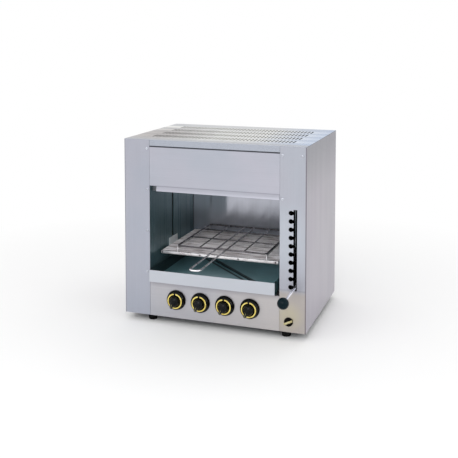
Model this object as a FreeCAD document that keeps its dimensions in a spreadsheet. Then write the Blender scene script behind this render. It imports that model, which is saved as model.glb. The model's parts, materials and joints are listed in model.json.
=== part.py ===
import FreeCAD, Part
import Sketcher
import math
import os
import re

# A counter-top gas salamander grill with four ceramic burners under the top,
# a rack that a side lever raises in ten steps, and a drip tray.
# Frame: X to the right, Y to the back, Z up, millimetres, origin under the middle.

sizes = {
    "body_width": 580, "body_depth": 412, "body_height": 550, "skin": 1.2,
    "left_post": 84, "right_post": 80, "seam": 0.5, "bend_return": 20,
    "rail_height": 19, "rail_gap": 1.2, "hood_drop": 143, "lip_height": 15, "lip_lean": 4, "lip_cutback": 24,
    "control_height": 105, "control_flange": 30, "pan_wall": 15, "deck_wall": 12,
    "foot_height": 22, "foot_top": 16, "foot_bottom": 13, "foot_setback": 30,
    "foot_left_inset": 80, "foot_right_inset": 66, "stud_radius": 4, "stud_length": 10,
    "vent_length": 42, "vent_width": 5, "vent_pitch": 11.1, "vent_row_pitch": 77,
    "vent_count": 42, "vent_rows": 4,
    "rear_space": 50, "wall_drop": 20, "wall_flange": 18,
    "burner_drop": 126, "skirt_drop": 36, "burner_margin": 12, "burner_gap": 10,
    "burner_rear_space": 61, "burner_rise": 37, "burner_setback": 45, "burner_rim": 4,
    "rim_thickness": 1.5, "burner_wall": 1.5, "ceramic_thickness": 13, "ceramic_gap": 1,
    "ceramic_seat": 2.5, "ceramic_clearance": 0.3, "venturi_radius": 12, "venturi_bore": 10.5,
    "venturi_level": 21, "venturi_length": 34, "injector_radius": 7, "injector_length": 16,
    "manifold_radius": 10.65, "manifold_bore": 8, "manifold_setback": 60, "manifold_overhang": 44,
    "manifold_margin": 10, "gas_level": 57, "pipe_radius": 8, "pipe_bore": 6, "pipe_bend": 18,
    "inlet_inset": 22, "inlet_reach": 28, "inlet_radius": 10.48, "inlet_bore": 6, "inlet_nut": 15,
    "inlet_nut_width": 10, "tube_radius": 4, "tube_bore": 3, "tube_bend": 9.6, "tube_level": 90,
    "tube_gap": 12, "tap_front": 16, "tap_radius": 11, "saddle_radius": 14,
    "saddle_width": 16, "outlet_setback": 34, "outlet_radius": 6, "outlet_rise": 17,
    "knob_left": 172, "knob_pitch": 79, "spindle_radius": 4, "spindle_flat": 3,
    "spindle_reach": 22, "spindle_depth": 16, "running_fit": 0.05,
    "bezel_radius": 30.5, "bezel_thickness": 2.5, "bezel_hole": 8, "knob_lift": 3.5,
    "knob_radius": 29, "knob_edge": 2.7, "knob_neck": 24, "knob_skirt": 8, "knob_ring": 19.5,
    "knob_dish": 2, "dome_radius": 17, "dome_shoulder": 14.5, "dome_step": 14, "dome_crown": 7,
    "dome_height": 19, "knob_height": 24, "knob_cap": 2, "knob_turn": 28,
    "grip_width": 13, "grip_tail": 16, "grip_reach": 27, "grip_tip": 3.4, "grip_bevel": 2.2,
    "pilot_inset": 52, "pilot_level": 31, "pilot_radius": 13.5, "pilot_plate": 3,
    "pilot_stem": 3, "pilot_bar": 27, "pilot_bar_width": 6, "pilot_bar_height": 7,
    "pilot_turn": 25, "pilot_body": 8, "pilot_branch": 6, "pilot_depth": 30, "pilot_block": 16,
    "pilot_tube": 3, "pilot_bore": 2, "pilot_bend": 14, "pilot_run": 92, "pilot_column": 36,
    "pilot_flame_drop": 22,
    "pilot_flame_setback": 34, "pilot_burner_length": 30, "pilot_burner_radius": 5,
    "pilot_burner_gap": 8.5,
    "screw_inset": 8, "screw_level": 137.5, "screw_top": 27.9, "screw_corner": 13,
    "screw_radius": 2, "screw_head": 4, "screw_crown": 2.8, "screw_head_height": 2.2,
    "screw_length": 9, "screw_clearance": 0.1, "back_screw_level": 110,
    "pivot_rear_gap": 18, "pivot_level": 245, "notch_pitch": 24.4, "notch_count": 10,
    "notch_radius": 7, "notch_neck": 10, "notch_reach": 13.3, "slot_width": 11,
    "slot_margin": 10, "slot_inset": 33.2, "shaft_radius": 6, "shaft_overhang": 26,
    "bush_flange": 11, "bush_wall": 2, "bush_flange_thickness": 2,
    "arm_thickness": 4, "arm_height": 18, "arm_gap": 16, "arm_nose": 14, "hub_radius": 12,
    "hub_length": 14, "pin_radius": 4, "pin_play": 0.5, "pin_lead": 0.35,
    "guide_setback": 181, "guide_width": 12, "guide_bottom": 163, "guide_drop": 24,
    "lever_radius": 3.5, "lever_pivot_setback": 300, "lever_eye": 7, "lever_eye_height": 12,
    "lever_pin": 3, "lever_pin_head": 4.5, "lever_pin_cap": 1.5, "lug_thickness": 3,
    "lug_gap": 0.2, "lever_reach": 77, "lever_set": 13,
    "ball_radius": 17, "ball_socket": 12,
    "block_height": 40, "block_play": 0.1, "keeper_width": 30, "keeper_thickness": 2,
    "wall_clearance": 0.4, "bracket_width": 68, "bracket_height": 40, "bracket_thickness": 2.5,
    "foot_overlap": 5, "carrier_setback": 67, "carrier_rear_gap": 9,
    "carrier_left_gap": 11, "carrier_right_gap": 25,
    "carrier_level": 188, "carrier_rod": 3, "carrier_bar": 9, "carrier_bar_thickness": 3,
    "side_rod": 2.8, "riser_rod": 2.2, "runner_rod": 2.5, "runner_overhang": 3,
    "rack_level": 208, "rack_rod": 2.5, "rack_side_rod": 2.4, "rack_inner_rod": 2, "rack_inset": 66,
    "rack_side_gap": 62.5, "rack_rear_gap": 6, "rack_cross_first": 114, "rack_cross_second": 223,
    "rack_clearance": 0.3, "mesh_thickness": 1, "mesh_wire": 3, "mesh_columns": 20,
    "mesh_rows": 14, "mesh_clearance": 0.1,
    "handle_width": 32, "handle_reach": 165, "handle_shift": 3,
    "tray_reach": 15, "tray_front_bottom": 110, "tray_front_top": 147, "tray_left_gap": 4,
    "tray_right_gap": 11, "tray_side_gap": 2, "tray_return": 30, "tray_floor": 112,
    "tray_rear_gap": 7, "tray_ledge": 10, "channel_width": 15, "channel_depth": 3,
    "channel_end": 26,
}

# Places worked out from the sizes: planes of the casing, pivots and levels.
places = {
    "front_y": "(handle_reach - inlet_reach - body_depth) / 2",
    "back_y": "front_y + body_depth",
    "inner_back_y": "back_y - 2 * skin",
    "left_x": "-body_width / 2",
    "right_x": "body_width / 2",
    "floor_z": "foot_height",
    "top_z": "foot_height + body_height",
    "open_left": "left_x + left_post",
    "open_right": "right_x - right_post",
    "open_width": "open_right - open_left",
    "open_mid": "(open_left + open_right) / 2",
    "wall_level": "body_height - wall_drop",
    "hood_level": "body_height - hood_drop",
    "burner_level": "body_height - burner_drop",
    "guide_top": "burner_level - guide_drop",
    "pilot_flame_level": "burner_level - pilot_flame_drop",
    "screw_pitch": "(body_height - screw_level - screw_top) / 3",
    "cavity_depth": "body_depth - rear_space",
    "burner_length": "cavity_depth - burner_setback - burner_rear_space",
    "burner_pitch": "(open_width - 2 * burner_margin) / 4",
    "burner_width": "burner_pitch - burner_gap",
    "tube_setback": "cavity_depth + tube_gap",
    "pivot_setback": "body_depth - pivot_rear_gap",
    "carrier_depth": "cavity_depth - carrier_setback - carrier_rear_gap",
    "rack_width": "open_width - 2 * rack_side_gap",
    "rack_depth": "cavity_depth - rack_inset - rack_rear_gap",
    "deck_z": "floor_z + control_height - skin",
    "wall_top_z": "floor_z + wall_level",
    "cavity_back_y": "front_y + cavity_depth",
    "burner_z": "floor_z + burner_level",
    "guide_y": "front_y + guide_setback",
    "pivot_y": "front_y + pivot_setback",
    "pivot_z": "floor_z + pivot_level",
    "notch_span": "(notch_count - 1) * notch_pitch",
    "lift_tilt": "atan(notch_span / 2 / pivot_setback)",
    "pin_arm": "pivot_setback - guide_setback",
    "pin_z": "pivot_z - pin_arm * notch_span / 2 / pivot_setback + pin_lead",
    "slot_x": "right_x - slot_inset",
    "gas_y": "front_y + manifold_setback",
    "gas_z": "floor_z + gas_level",
    "knob_x": "left_x + knob_left",
    "bezel_y": "front_y - bezel_thickness",
    "knob_y": "front_y - bezel_thickness - knob_lift",
    "pilot_x": "right_x - pilot_inset",
    "pilot_z": "floor_z + pilot_level",
    "manifold_start": "knob_x - manifold_overhang",
    "manifold_end": "pilot_x + manifold_margin",
    "carrier_left": "open_left + carrier_left_gap",
    "carrier_right": "open_right - carrier_right_gap",
    "carrier_front_y": "front_y + carrier_setback",
    "carrier_z": "floor_z + carrier_level",
    "rack_z": "floor_z + rack_level",
    "rack_mid": "open_mid + handle_shift",
    "rack_left": "rack_mid - rack_width / 2",
    "rack_right": "rack_mid + rack_width / 2",
    "rack_front_y": "front_y + rack_inset",
    "tray_left": "open_left + tray_left_gap",
    "tray_right": "open_right - tray_right_gap",
    "tray_front_y": "front_y - tray_reach",
    "tray_z": "floor_z + tray_floor",
}

doc = FreeCAD.newDocument("salamander_grill")
word = re.compile(r"[a-z][a-z_]+")


def link(text):
    """Formula text with every size and place written as its sheet's cell."""
    def cell(match):
        name = match.group(0)
        if name in sizes:
            return "Sizes." + name
        if name in places:
            return "Places." + name
        return name
    return word.sub(cell, str(text))


sheet = doc.addObject("Spreadsheet::Sheet", "Sizes")
for row, (name, value) in enumerate(sizes.items(), start=1):
    sheet.set(f"A{row}", str(value))
    sheet.setAlias(f"A{row}", name)
doc.recompute()

derived = doc.addObject("Spreadsheet::Sheet", "Places")
for row, name in enumerate(places, start=1):
    derived.setAlias(f"A{row}", name)
for row, formula in enumerate(places.values(), start=1):
    derived.set(f"A{row}", "=" + link(formula).replace("Places.", ""))
doc.recompute()


def number(name):
    """The value of a size or place, for shapes made with Part's own functions."""
    value = (sheet if name in sizes else derived).get(name)
    return getattr(value, "Value", value)


nodes = []


def bind(item, **formulas):
    for name, formula in formulas.items():
        item.setExpression(name, link(formula))
    return item


def place(item, x="0", y="0", z="0"):
    for axis, formula in zip("xyz", (x, y, z)):
        item.setExpression(f".Placement.Base.{axis}", link(formula))
    return item


def turn(item, axis, angle):
    item.Placement = FreeCAD.Placement(FreeCAD.Vector(), FreeCAD.Rotation(FreeCAD.Vector(*axis), 1))
    item.setExpression(".Placement.Rotation.Angle", link(angle))
    return item


def node(item, label):
    item.Label = label
    nodes.append(item)
    return item


def box(x, y, z, length, width, height):
    item = doc.addObject("Part::Box", "box")
    bind(item, Length=length, Width=width, Height=height)
    return place(item, x, y, z)


turns = {
    "x": FreeCAD.Rotation(FreeCAD.Vector(0, 1, 0), 90),
    "y": FreeCAD.Rotation(FreeCAD.Vector(1, 0, 0), -90),
    "z": FreeCAD.Rotation(),
}


def rod(axis, x, y, z, radius, length):
    """A round bar from a point, along the named axis."""
    item = doc.addObject("Part::Cylinder", "rod")
    item.Placement = FreeCAD.Placement(FreeCAD.Vector(), turns[axis])
    bind(item, Radius=radius, Height=length)
    return place(item, x, y, z)


def cone(axis, x, y, z, radius, end_radius, length):
    item = doc.addObject("Part::Cone", "cone")
    item.Placement = FreeCAD.Placement(FreeCAD.Vector(), turns[axis])
    bind(item, Radius1=radius, Radius2=end_radius, Height=length)
    return place(item, x, y, z)


def fuse(*items):
    item = doc.addObject("Part::MultiFuse", "fuse")
    item.Shapes = list(items)
    item.Refine = True
    return item


def group(*items):
    item = doc.addObject("Part::Compound", "group")
    item.Links = list(items)
    return item


def cut(base, *tools):
    item = doc.addObject("Part::Cut", "cut")
    item.Base = base
    item.Tool = tools[0] if len(tools) == 1 else group(*tools)
    return item


def common(first, second):
    item = doc.addObject("Part::Common", "common")
    item.Base = first
    item.Tool = second
    return item


def body(label):
    item = doc.addObject("PartDesign::Body", label)
    return node(item, label)


def sketch(owner, role, name="sketch"):
    item = owner.newObject("Sketcher::SketchObject", name)
    plane = next(o for o in owner.Origin.OriginFeatures if o.Role == role)
    item.AttachmentSupport = [(plane, "")]
    item.MapMode = "FlatFace"
    return item


def pin_point(drawing, geometry, point, x, y):
    """Holds a sketch point at a distance from the sketch's origin."""
    for kind, formula in (("DistanceX", x), ("DistanceY", y)):
        index = drawing.addConstraint(Sketcher.Constraint(kind, -1, 1, geometry, point, 1.0))
        drawing.setExpression(f"Constraints[{index}]", link(formula))


def outline(drawing, *corners):
    """A closed run of straight lines through the corners."""
    count = len(corners)
    spots = [FreeCAD.Vector(math.cos(2 * math.pi * i / count), math.sin(2 * math.pi * i / count), 0)
             for i in range(count)]
    first = drawing.GeometryCount
    for i in range(count):
        drawing.addGeometry(Part.LineSegment(spots[i], spots[(i + 1) % count]))
    for i in range(count):
        after = first + (i + 1) % count
        drawing.addConstraint(Sketcher.Constraint("Coincident", first + i, 2, after, 1))
    for i, (x, y) in enumerate(corners):
        pin_point(drawing, first + i, 1, x, y)


def disc(drawing, x, y, radius):
    index = drawing.addGeometry(Part.Circle(FreeCAD.Vector(), FreeCAD.Vector(0, 0, 1), 1))
    pin_point(drawing, index, 3, x, y)
    limit = drawing.addConstraint(Sketcher.Constraint("Radius", index, 1.0))
    drawing.setExpression(f"Constraints[{limit}]", link(radius))


def pad(owner, drawing, length, reverse=False):
    item = owner.newObject("PartDesign::Pad", "pad")
    item.Profile = drawing
    item.Reversed = reverse
    bind(item, Length=length)
    return item


def pocket_through(owner, drawing):
    item = owner.newObject("PartDesign::Pocket", "pocket")
    item.Profile = drawing
    item.Type = 1
    item.Midplane = True
    return item


def spin(owner, drawing):
    """A full turn of the profile about the sketch's upright axis."""
    item = owner.newObject("PartDesign::Revolution", "spin")
    item.Profile = drawing
    item.ReferenceAxis = (drawing, ["V_Axis"])
    item.Angle = 360
    return item


def tube(label, points, radius, bore, bend):
    """A pipe along straight runs joined by arcs of one bend radius."""
    def section(size):
        corners = [FreeCAD.Vector(*p) for p in points]
        edges = []
        start = corners[0]
        for before, corner, after in zip(corners, corners[1:], corners[2:]):
            back = (before - corner).normalize()
            ahead = (after - corner).normalize()
            half = back.getAngle(ahead) / 2
            reach = bend / math.tan(half)
            enter = corner + back * reach
            leave = corner + ahead * reach
            middle = corner + (back + ahead).normalize() * (bend / math.sin(half) - bend)
            edges.append(Part.LineSegment(start, enter).toShape())
            edges.append(Part.Arc(enter, middle, leave).toShape())
            start = leave
        edges.append(Part.LineSegment(start, corners[-1]).toShape())
        path = Part.Wire(edges)
        circle = Part.Wire(Part.Circle(corners[0], corners[1] - corners[0], size).toShape())
        return path.makePipeShell([circle], True, False)
    item = doc.addObject("Part::Feature", label)
    solid = section(radius)
    item.Shape = solid.cut(section(bore)) if bore else solid
    return node(item, label)


# Casing


def build_base_pan():
    outer = box("left_x + skin", "front_y + skin", "floor_z",
                "body_width - 2 * skin", "body_depth - 3 * skin", "pan_wall + skin")
    inner = box("left_x + 2 * skin", "front_y + 2 * skin", "floor_z + skin",
                "body_width - 4 * skin", "body_depth - 5 * skin", "pan_wall + skin")
    node(cut(outer, inner, *stud_holes()), "base_pan")


foot_spots = [(x, y) for x in ("left_x + foot_left_inset", "right_x - foot_right_inset")
              for y in ("front_y + foot_setback", "back_y - foot_setback")]


def stud_holes():
    return [rod("z", x, y, "floor_z - skin", "stud_radius + screw_clearance", "3 * skin")
            for x, y in foot_spots]


def build_feet():
    feet = []
    for x, y in foot_spots:
        rubber = cone("z", x, y, "0", "foot_bottom", "foot_top", "foot_height")
        stud = rod("z", x, y, "foot_height / 2", "stud_radius", "foot_height / 2 + stud_length")
        feet.append(fuse(rubber, stud))
    node(group(*feet), "feet")


def build_side_panels():
    for label, plate_x, flange_x in (("left_side_panel", "left_x", "left_x + skin"),
                                     ("right_side_panel", "right_x - skin",
                                      "right_x - skin - bend_return")):
        plate = box(plate_x, "front_y + skin + seam", "floor_z",
                    "skin", "body_depth - skin - seam", "body_height - skin")
        flange = box(flange_x, "back_y - 2 * skin", "floor_z",
                     "bend_return", "skin", "body_height - skin")
        node(cut(fuse(plate, flange), inlet_hole(), *back_screw_holes()), label)


back_screws = [(x, z) for x in ("left_x + bend_return / 2", "right_x - bend_return / 2")
               for z in ("floor_z + back_screw_level", "(floor_z + top_z) / 2",
                         "top_z - back_screw_level")]


def back_screw_holes():
    return [rod("y", x, "back_y - 3 * skin", z, "screw_radius + screw_clearance", "4 * skin")
            for x, z in back_screws]


def build_back_panel():
    plate = box("left_x + skin", "back_y - skin", "floor_z",
                "body_width - 2 * skin", "skin", "body_height - skin")
    node(cut(plate, inlet_hole(), *back_screw_holes()), "back_panel")


def inlet_hole():
    return rod("y", "right_x - inlet_inset", "back_y - 3 * skin", "gas_z",
               "inlet_radius + screw_clearance", "4 * skin")


def build_top_cover():
    """One sheet with a front rail, side and rear flanges and rows of vent slots."""
    plate = box("left_x", "front_y", "top_z - skin", "body_width", "body_depth", "skin")
    rail = box("open_left + seam", "front_y", "top_z - rail_height",
               "open_width - 2 * seam", "skin", "rail_height")
    flanges = [box(x, "front_y + bend_return + 2 * skin", "top_z - skin - pan_wall",
                   "skin", "body_depth - bend_return - 5 * skin", "pan_wall + skin")
               for x in ("left_x + skin", "right_x - 2 * skin")]
    folded = fuse(plate, rail, *flanges)
    holes = doc.addObject("Part::Feature", "vents")
    count = int(number("vent_count"))
    rows = int(number("vent_rows"))
    width = number("vent_width")
    length = number("vent_length")
    slots = []
    for column in range(count):
        for row in range(rows):
            x = (column - (count - 1) / 2) * number("vent_pitch")
            y = (row - (rows - 1) / 2) * number("vent_row_pitch") - length / 2
            slot = Part.makeBox(width, length - width, 3 * number("skin"),
                                FreeCAD.Vector(x - width / 2, y + width / 2, -number("skin")))
            ends = [Part.makeCylinder(width / 2, 3 * number("skin"),
                                      FreeCAD.Vector(x, y + end, -number("skin")))
                    for end in (width / 2, length - width / 2)]
            slots.append(slot.fuse(ends))
    holes.Shape = Part.makeCompound(slots)
    place(holes, "open_mid", "(front_y + back_y) / 2", "top_z - skin")
    node(cut(folded, holes), "top_cover")


# Front posts, hood panel and control panel


post_screws = [("open_left - screw_inset", f"floor_z + screw_level + {i} * screw_pitch")
               for i in range(4)]
post_screws += [("open_right + screw_inset", f"floor_z + screw_level + {i} * screw_pitch")
                for i in (2, 3)]
post_screws += [("right_x - screw_corner", "floor_z + screw_level + 3 * screw_pitch")]


def post_screw_holes():
    return [rod("y", x, "front_y - skin", z, "screw_radius + screw_clearance", "4 * skin")
            for x, z in post_screws]


def build_left_post():
    face = box("left_x", "front_y", "floor_z", "left_post", "skin", "body_height - skin")
    edge = box("left_x + skin", "front_y + skin", "floor_z + pan_wall + 2 * skin",
               "skin", "bend_return - skin", "body_height - pan_wall - 4 * skin")
    node(cut(fuse(face, edge), *post_screw_holes()), "left_front_post")


def build_right_post():
    """The lever's slot runs beside ten notches that the lever drops into."""
    post = body("right_front_post")
    face = sketch(post, "XZ_Plane", "face")
    outline(face, ("open_right", "floor_z"), ("right_x", "floor_z"),
            ("right_x", "top_z - skin"), ("open_right", "top_z - skin"))
    pad(post, face, "skin", reverse=True)
    edge = sketch(post, "XZ_Plane", "edge")
    outline(edge, ("right_x - 2 * skin", "floor_z + pan_wall + 2 * skin"),
            ("right_x - skin", "floor_z + pan_wall + 2 * skin"),
            ("right_x - skin", "top_z - 2 * skin"), ("right_x - 2 * skin", "top_z - 2 * skin"))
    pad(post, edge, "bend_return", reverse=True)
    slot = sketch(post, "XZ_Plane", "slot")
    low = "pivot_z - notch_span / 2 - slot_margin"
    high = "pivot_z + notch_span / 2 + slot_margin"
    outline(slot, ("slot_x - slot_width / 2", low), ("slot_x + slot_width / 2", low),
            ("slot_x + slot_width / 2", high), ("slot_x - slot_width / 2", high))
    pocket_through(post, slot)
    first = sketch(post, "XZ_Plane", "first_notch")
    level = "pivot_z - notch_span / 2"
    disc(first, "slot_x - notch_reach", level, "notch_radius")
    round_notch = pocket_through(post, first)
    neck = sketch(post, "XZ_Plane", "neck")
    outline(neck, ("slot_x - notch_reach", f"{level} - notch_neck / 2"),
            ("slot_x", f"{level} - notch_neck / 2"), ("slot_x", f"{level} + notch_neck / 2"),
            ("slot_x - notch_reach", f"{level} + notch_neck / 2"))
    neck_cut = pocket_through(post, neck)
    row = post.newObject("PartDesign::LinearPattern", "notches")
    row.Originals = [round_notch, neck_cut]
    row.Direction = (first, ["V_Axis"])
    bind(row, Length="notch_span", Occurrences="notch_count")
    post.Tip = row
    holes = sketch(post, "XZ_Plane", "screw_holes")
    for x, z in post_screws[4:]:
        disc(holes, x, z, "screw_radius + screw_clearance")
    disc(holes, "pilot_x", "pilot_z", "pilot_stem + screw_clearance")
    post.Tip = pocket_through(post, holes)
    place(post, "0", "front_y", "0")


def build_hood_panel():
    low = "floor_z + hood_level"
    face = box("open_left + seam", "front_y", low, "open_width - 2 * seam", "skin",
               "body_height - rail_height - rail_gap - hood_level")
    ends = [box(x, "front_y + skin", low, "skin", "bend_return - skin", "wall_level - hood_level")
            for x in ("open_left", "open_right - skin")]
    node(fuse(face, lip_sheet(), *ends), "hood_panel")


def lip_sheet():
    """The lower lip leans out; it stops short of the left post."""
    item = doc.addObject("Part::Extrusion", "lip")
    section = doc.addObject("Part::Feature", "lip_section")
    lean = number("lip_lean")
    drop = number("lip_height")
    skin = number("skin")
    low = number("floor_z") + number("hood_level")
    y = number("front_y")
    x = number("open_left") + number("lip_cutback")
    corners = [(y, low), (y - lean, low - drop), (y - lean + skin, low - drop), (y + skin, low)]
    points = [FreeCAD.Vector(x, a, b) for a, b in corners]
    section.Shape = Part.Face(Part.makePolygon(points + points[:1]))
    item.Base = section
    item.DirMode = "Custom"
    item.Dir = FreeCAD.Vector(1, 0, 0)
    item.Solid = True
    bind(item, LengthFwd="open_width - lip_cutback - seam")
    return item


def build_control_panel():
    face = box("open_left + seam", "front_y", "floor_z", "open_width - 2 * seam", "skin",
               "control_height")
    shelf = box("open_left + seam", "front_y", "deck_z", "open_width - 2 * seam",
                "control_flange", "skin")
    holes = [rod("y", x, "front_y - skin", "gas_z", "bezel_hole", "3 * skin")
             for x in knob_places]
    node(cut(fuse(face, shelf), *holes), "control_panel")


knob_places = [f"knob_x + {i} * knob_pitch" for i in range(4)]


def screw(axis, x, y, z, direction):
    """A pan-head screw whose head lies on the panel's outer face."""
    if direction > 0:
        shank = rod(axis, x, y, z, "screw_radius", "screw_length")
        head = cone(axis, x, f"{y} - screw_head_height", z, "screw_crown", "screw_head",
                    "screw_head_height")
    else:
        shank = rod(axis, x, f"{y} - screw_length", z, "screw_radius", "screw_length")
        head = cone(axis, x, y, z, "screw_head", "screw_crown", "screw_head_height")
    return fuse(shank, head)


def build_screws():
    front = [screw("y", x, "front_y", z, 1) for x, z in post_screws]
    rear = [screw("y", x, "back_y", z, -1) for x, z in back_screws]
    node(group(*front, *rear), "panel_screws")


# Cavity


def build_lower_deck():
    width = "body_width - 2 * skin"
    start = "front_y + bend_return + skin"
    depth = "inner_back_y - front_y - bend_return - skin"
    plate = box("left_x + skin", start, "deck_z - skin", width, depth, "skin")
    sides = [box(x, start, "deck_z - deck_wall", "skin", depth, "deck_wall")
             for x in ("left_x + skin", "right_x - 2 * skin")]
    tubes = box("open_left + wall_flange", "cavity_back_y + 2 * skin", "deck_z - 2 * skin",
                "open_width - 2 * wall_flange", "4 * tube_radius", "3 * skin")
    pilot = rod("z", "left_x + pilot_column", "front_y + pilot_run", "deck_z - 2 * skin",
                "2 * pilot_tube", "3 * skin")
    node(cut(fuse(plate, *sides), tubes, pilot), "lower_deck")


def build_cavity_side(label, wall_x, flange_x, shaft_side):
    height = "wall_top_z - deck_z"
    wall = box(wall_x, "front_y + skin", "deck_z", "skin", "inner_back_y - front_y - skin", height)
    flange = box(flange_x, "front_y + skin", "deck_z", "wall_flange", "skin", height)
    guide = box(f"{wall_x} - skin", "guide_y - guide_width / 2", "floor_z + guide_bottom",
                "3 * skin", "guide_width", "guide_top - guide_bottom")
    shaft = rod("x", f"{wall_x} - skin", "pivot_y", "pivot_z",
                "shaft_radius + bush_wall + running_fit", "3 * skin")
    pilot = rod("x", f"{wall_x} - skin", "front_y + pilot_flame_setback",
                "floor_z + pilot_flame_level", "pilot_tube + screw_clearance", "3 * skin")
    tools = [guide, shaft] + ([pilot] if shaft_side == "left" else [])
    node(cut(fuse(wall, flange), *tools, *post_screw_holes()), label)


def build_cavity_back():
    node(box("open_left", "cavity_back_y", "deck_z", "open_width", "skin",
             "burner_z - skin - deck_z"), "cavity_back_wall")


def build_tray_runners():
    angles = []
    for x, step, width in (("open_left", "0", "tray_left_gap + tray_side_gap + tray_ledge"),
                           ("open_right", "-1", "tray_right_gap + tray_side_gap + tray_ledge")):
        start = "front_y + control_flange + skin"
        depth = "cavity_back_y - front_y - control_flange - 2 * skin"
        leg = box(f"{x} + {step} * ({width})", start, "tray_z - skin", width, depth, "skin")
        web = box(f"{x} + {step} * skin", start, "deck_z", "skin", depth, "tray_z - deck_z")
        angles.append(fuse(leg, web))
    node(group(*angles), "tray_runners")


def build_burner_deck():
    start = "front_y + bend_return + seam"
    depth = "cavity_back_y + skin - front_y - bend_return - seam"
    plate = box("open_left", start, "burner_z - skin", "open_width", depth, "skin")
    skirt = box("open_left", start, "burner_z - skirt_drop", "open_width", "skin", "skirt_drop")
    sides = [box(x, start, "burner_z - skin", "skin", depth, "pan_wall")
             for x in ("open_left", "open_right - skin")]
    holes = [box(f"{x} - burner_width / 2 + burner_wall + ceramic_seat",
                 "front_y + burner_setback + burner_wall + ceramic_seat", "burner_z - 2 * skin",
                 "burner_width - 2 * burner_wall - 2 * ceramic_seat",
                 "burner_length - 2 * burner_wall - 2 * ceramic_seat", "3 * skin")
             for x in burner_places]
    node(cut(fuse(plate, skirt, *sides), *holes), "burner_deck")


burner_places = [f"open_mid + {i} * burner_pitch" for i in (-1.5, -0.5, 0.5, 1.5)]


# Burners and gas line


def build_burner(index, x):
    """A pressed plenum, open below for the ceramic plates, with its mixing tube."""
    front = "front_y + burner_setback"
    shell = box(f"{x} - burner_width / 2", front, "burner_z", "burner_width", "burner_length",
                "burner_rise")
    rim = box(f"{x} - burner_width / 2 - burner_rim", f"{front} - burner_rim", "burner_z",
              "burner_width + 2 * burner_rim", "burner_length + 2 * burner_rim", "rim_thickness")
    back = f"{front} + burner_length"
    pipe = rod("y", x, f"{back} - burner_wall", "burner_z + venturi_level", "venturi_radius",
               "venturi_length + burner_wall")
    inside = box(f"{x} - burner_width / 2 + burner_wall", f"{front} + burner_wall",
                 "burner_z - skin", "burner_width - 2 * burner_wall",
                 "burner_length - 2 * burner_wall", "burner_rise - burner_wall + skin")
    bore = rod("y", x, f"{back} - 2 * burner_wall", "burner_z + venturi_level", "venturi_bore",
               "venturi_length + 3 * burner_wall")
    node(cut(fuse(shell, rim, pipe), inside, bore), f"burner_body_{index}")


def build_ceramics():
    plates = []
    width = "burner_width - 2 * burner_wall - 2 * ceramic_clearance"
    length = "(burner_length - 2 * burner_wall - 2 * ceramic_clearance - ceramic_gap) / 2"
    for x in burner_places:
        for half in (0, 1):
            plates.append(box(f"{x} - ({width}) / 2",
                              "front_y + burner_setback + burner_wall + ceramic_clearance"
                              f" + {half} * ({length} + ceramic_gap)",
                              "burner_z", width, length, "ceramic_thickness"))
    node(group(*plates), "ceramic_plates")


def build_injectors():
    """Brass injectors in a bent rail behind the mixing tubes."""
    rail_y = "front_y + burner_setback + burner_length + venturi_length + 2 * skin"
    web = box("open_left + skin", rail_y, "burner_z", "open_width - 2 * skin", "skin",
              "venturi_level + 2 * injector_radius")
    foot = box("open_left + skin", rail_y, "burner_z", "open_width - 2 * skin",
               "cavity_back_y - front_y - burner_setback - burner_length - venturi_length"
               " - 2 * skin", "skin")
    holes = [rod("y", x, f"{rail_y} - skin", "burner_z + venturi_level",
                 "injector_radius - skin + running_fit", "3 * skin") for x in burner_places]
    node(cut(fuse(web, foot), *holes), "injector_rail")
    bodies = []
    for x in burner_places:
        nose = rod("y", x, f"{rail_y} - skin", "burner_z + venturi_level",
                   "injector_radius - skin", "3 * skin")
        nut = rod("y", x, f"{rail_y} + skin", "burner_z + venturi_level", "injector_radius",
                  "injector_length")
        hole = rod("y", x, f"{rail_y} - 2 * skin", "burner_z + venturi_level", "tube_bore",
                   "injector_length + 4 * skin")
        bodies.append(cut(fuse(nose, nut), hole))
    node(group(*bodies), "injectors")


def build_gas_line():
    pipe = rod("x", "manifold_start", "gas_y", "gas_z", "manifold_radius",
               "manifold_end - manifold_start")
    branch = rod("z", "pilot_x", "gas_y", "pilot_z + pilot_block / 2", "pilot_branch",
                 "gas_z - pilot_z - pilot_block / 2")
    bore = rod("x", "manifold_start + manifold_bore", "gas_y", "gas_z", "manifold_bore",
               "manifold_end - manifold_start")
    node(cut(fuse(pipe, branch_collar(), branch), bore), "gas_manifold")
    x = number("right_x") - number("inlet_inset")
    y = number("gas_y")
    z = number("gas_z")
    start = number("manifold_end")
    end = number("back_y") - number("inlet_nut_width") - 2 * number("skin")
    tube("inlet_pipe", [(start, y, z), (x, y, z), (x, end, z)],
         number("pipe_radius"), number("pipe_bore"), number("pipe_bend"))


def branch_collar():
    """A collar round the pipe's end that the pilot branch leaves."""
    return rod("x", "pilot_x - pilot_body", "gas_y", "gas_z", "manifold_radius",
               "2 * pilot_body")


def build_inlet():
    x = "right_x - inlet_inset"
    thread = rod("y", x, "back_y - 2 * skin - inlet_nut_width", "gas_z", "inlet_radius",
                 "inlet_reach + inlet_nut_width + 2 * skin")
    nut = doc.addObject("Part::Prism", "nut")
    nut.Polygon = 6
    nut.Placement = FreeCAD.Placement(FreeCAD.Vector(), turns["y"])
    bind(nut, Circumradius="inlet_nut", Height="inlet_nut_width")
    place(nut, x, "back_y - 2 * skin - inlet_nut_width", "gas_z")
    collar = rod("y", x, "back_y", "gas_z", "inlet_nut", "inlet_nut_width / 2")
    hole = rod("y", x, "back_y - inlet_nut_width - 3 * skin", "gas_z", "inlet_bore",
               "inlet_reach + 2 * inlet_nut_width")
    node(cut(fuse(thread, nut, collar), hole), "inlet_fitting")


taps = []


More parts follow.
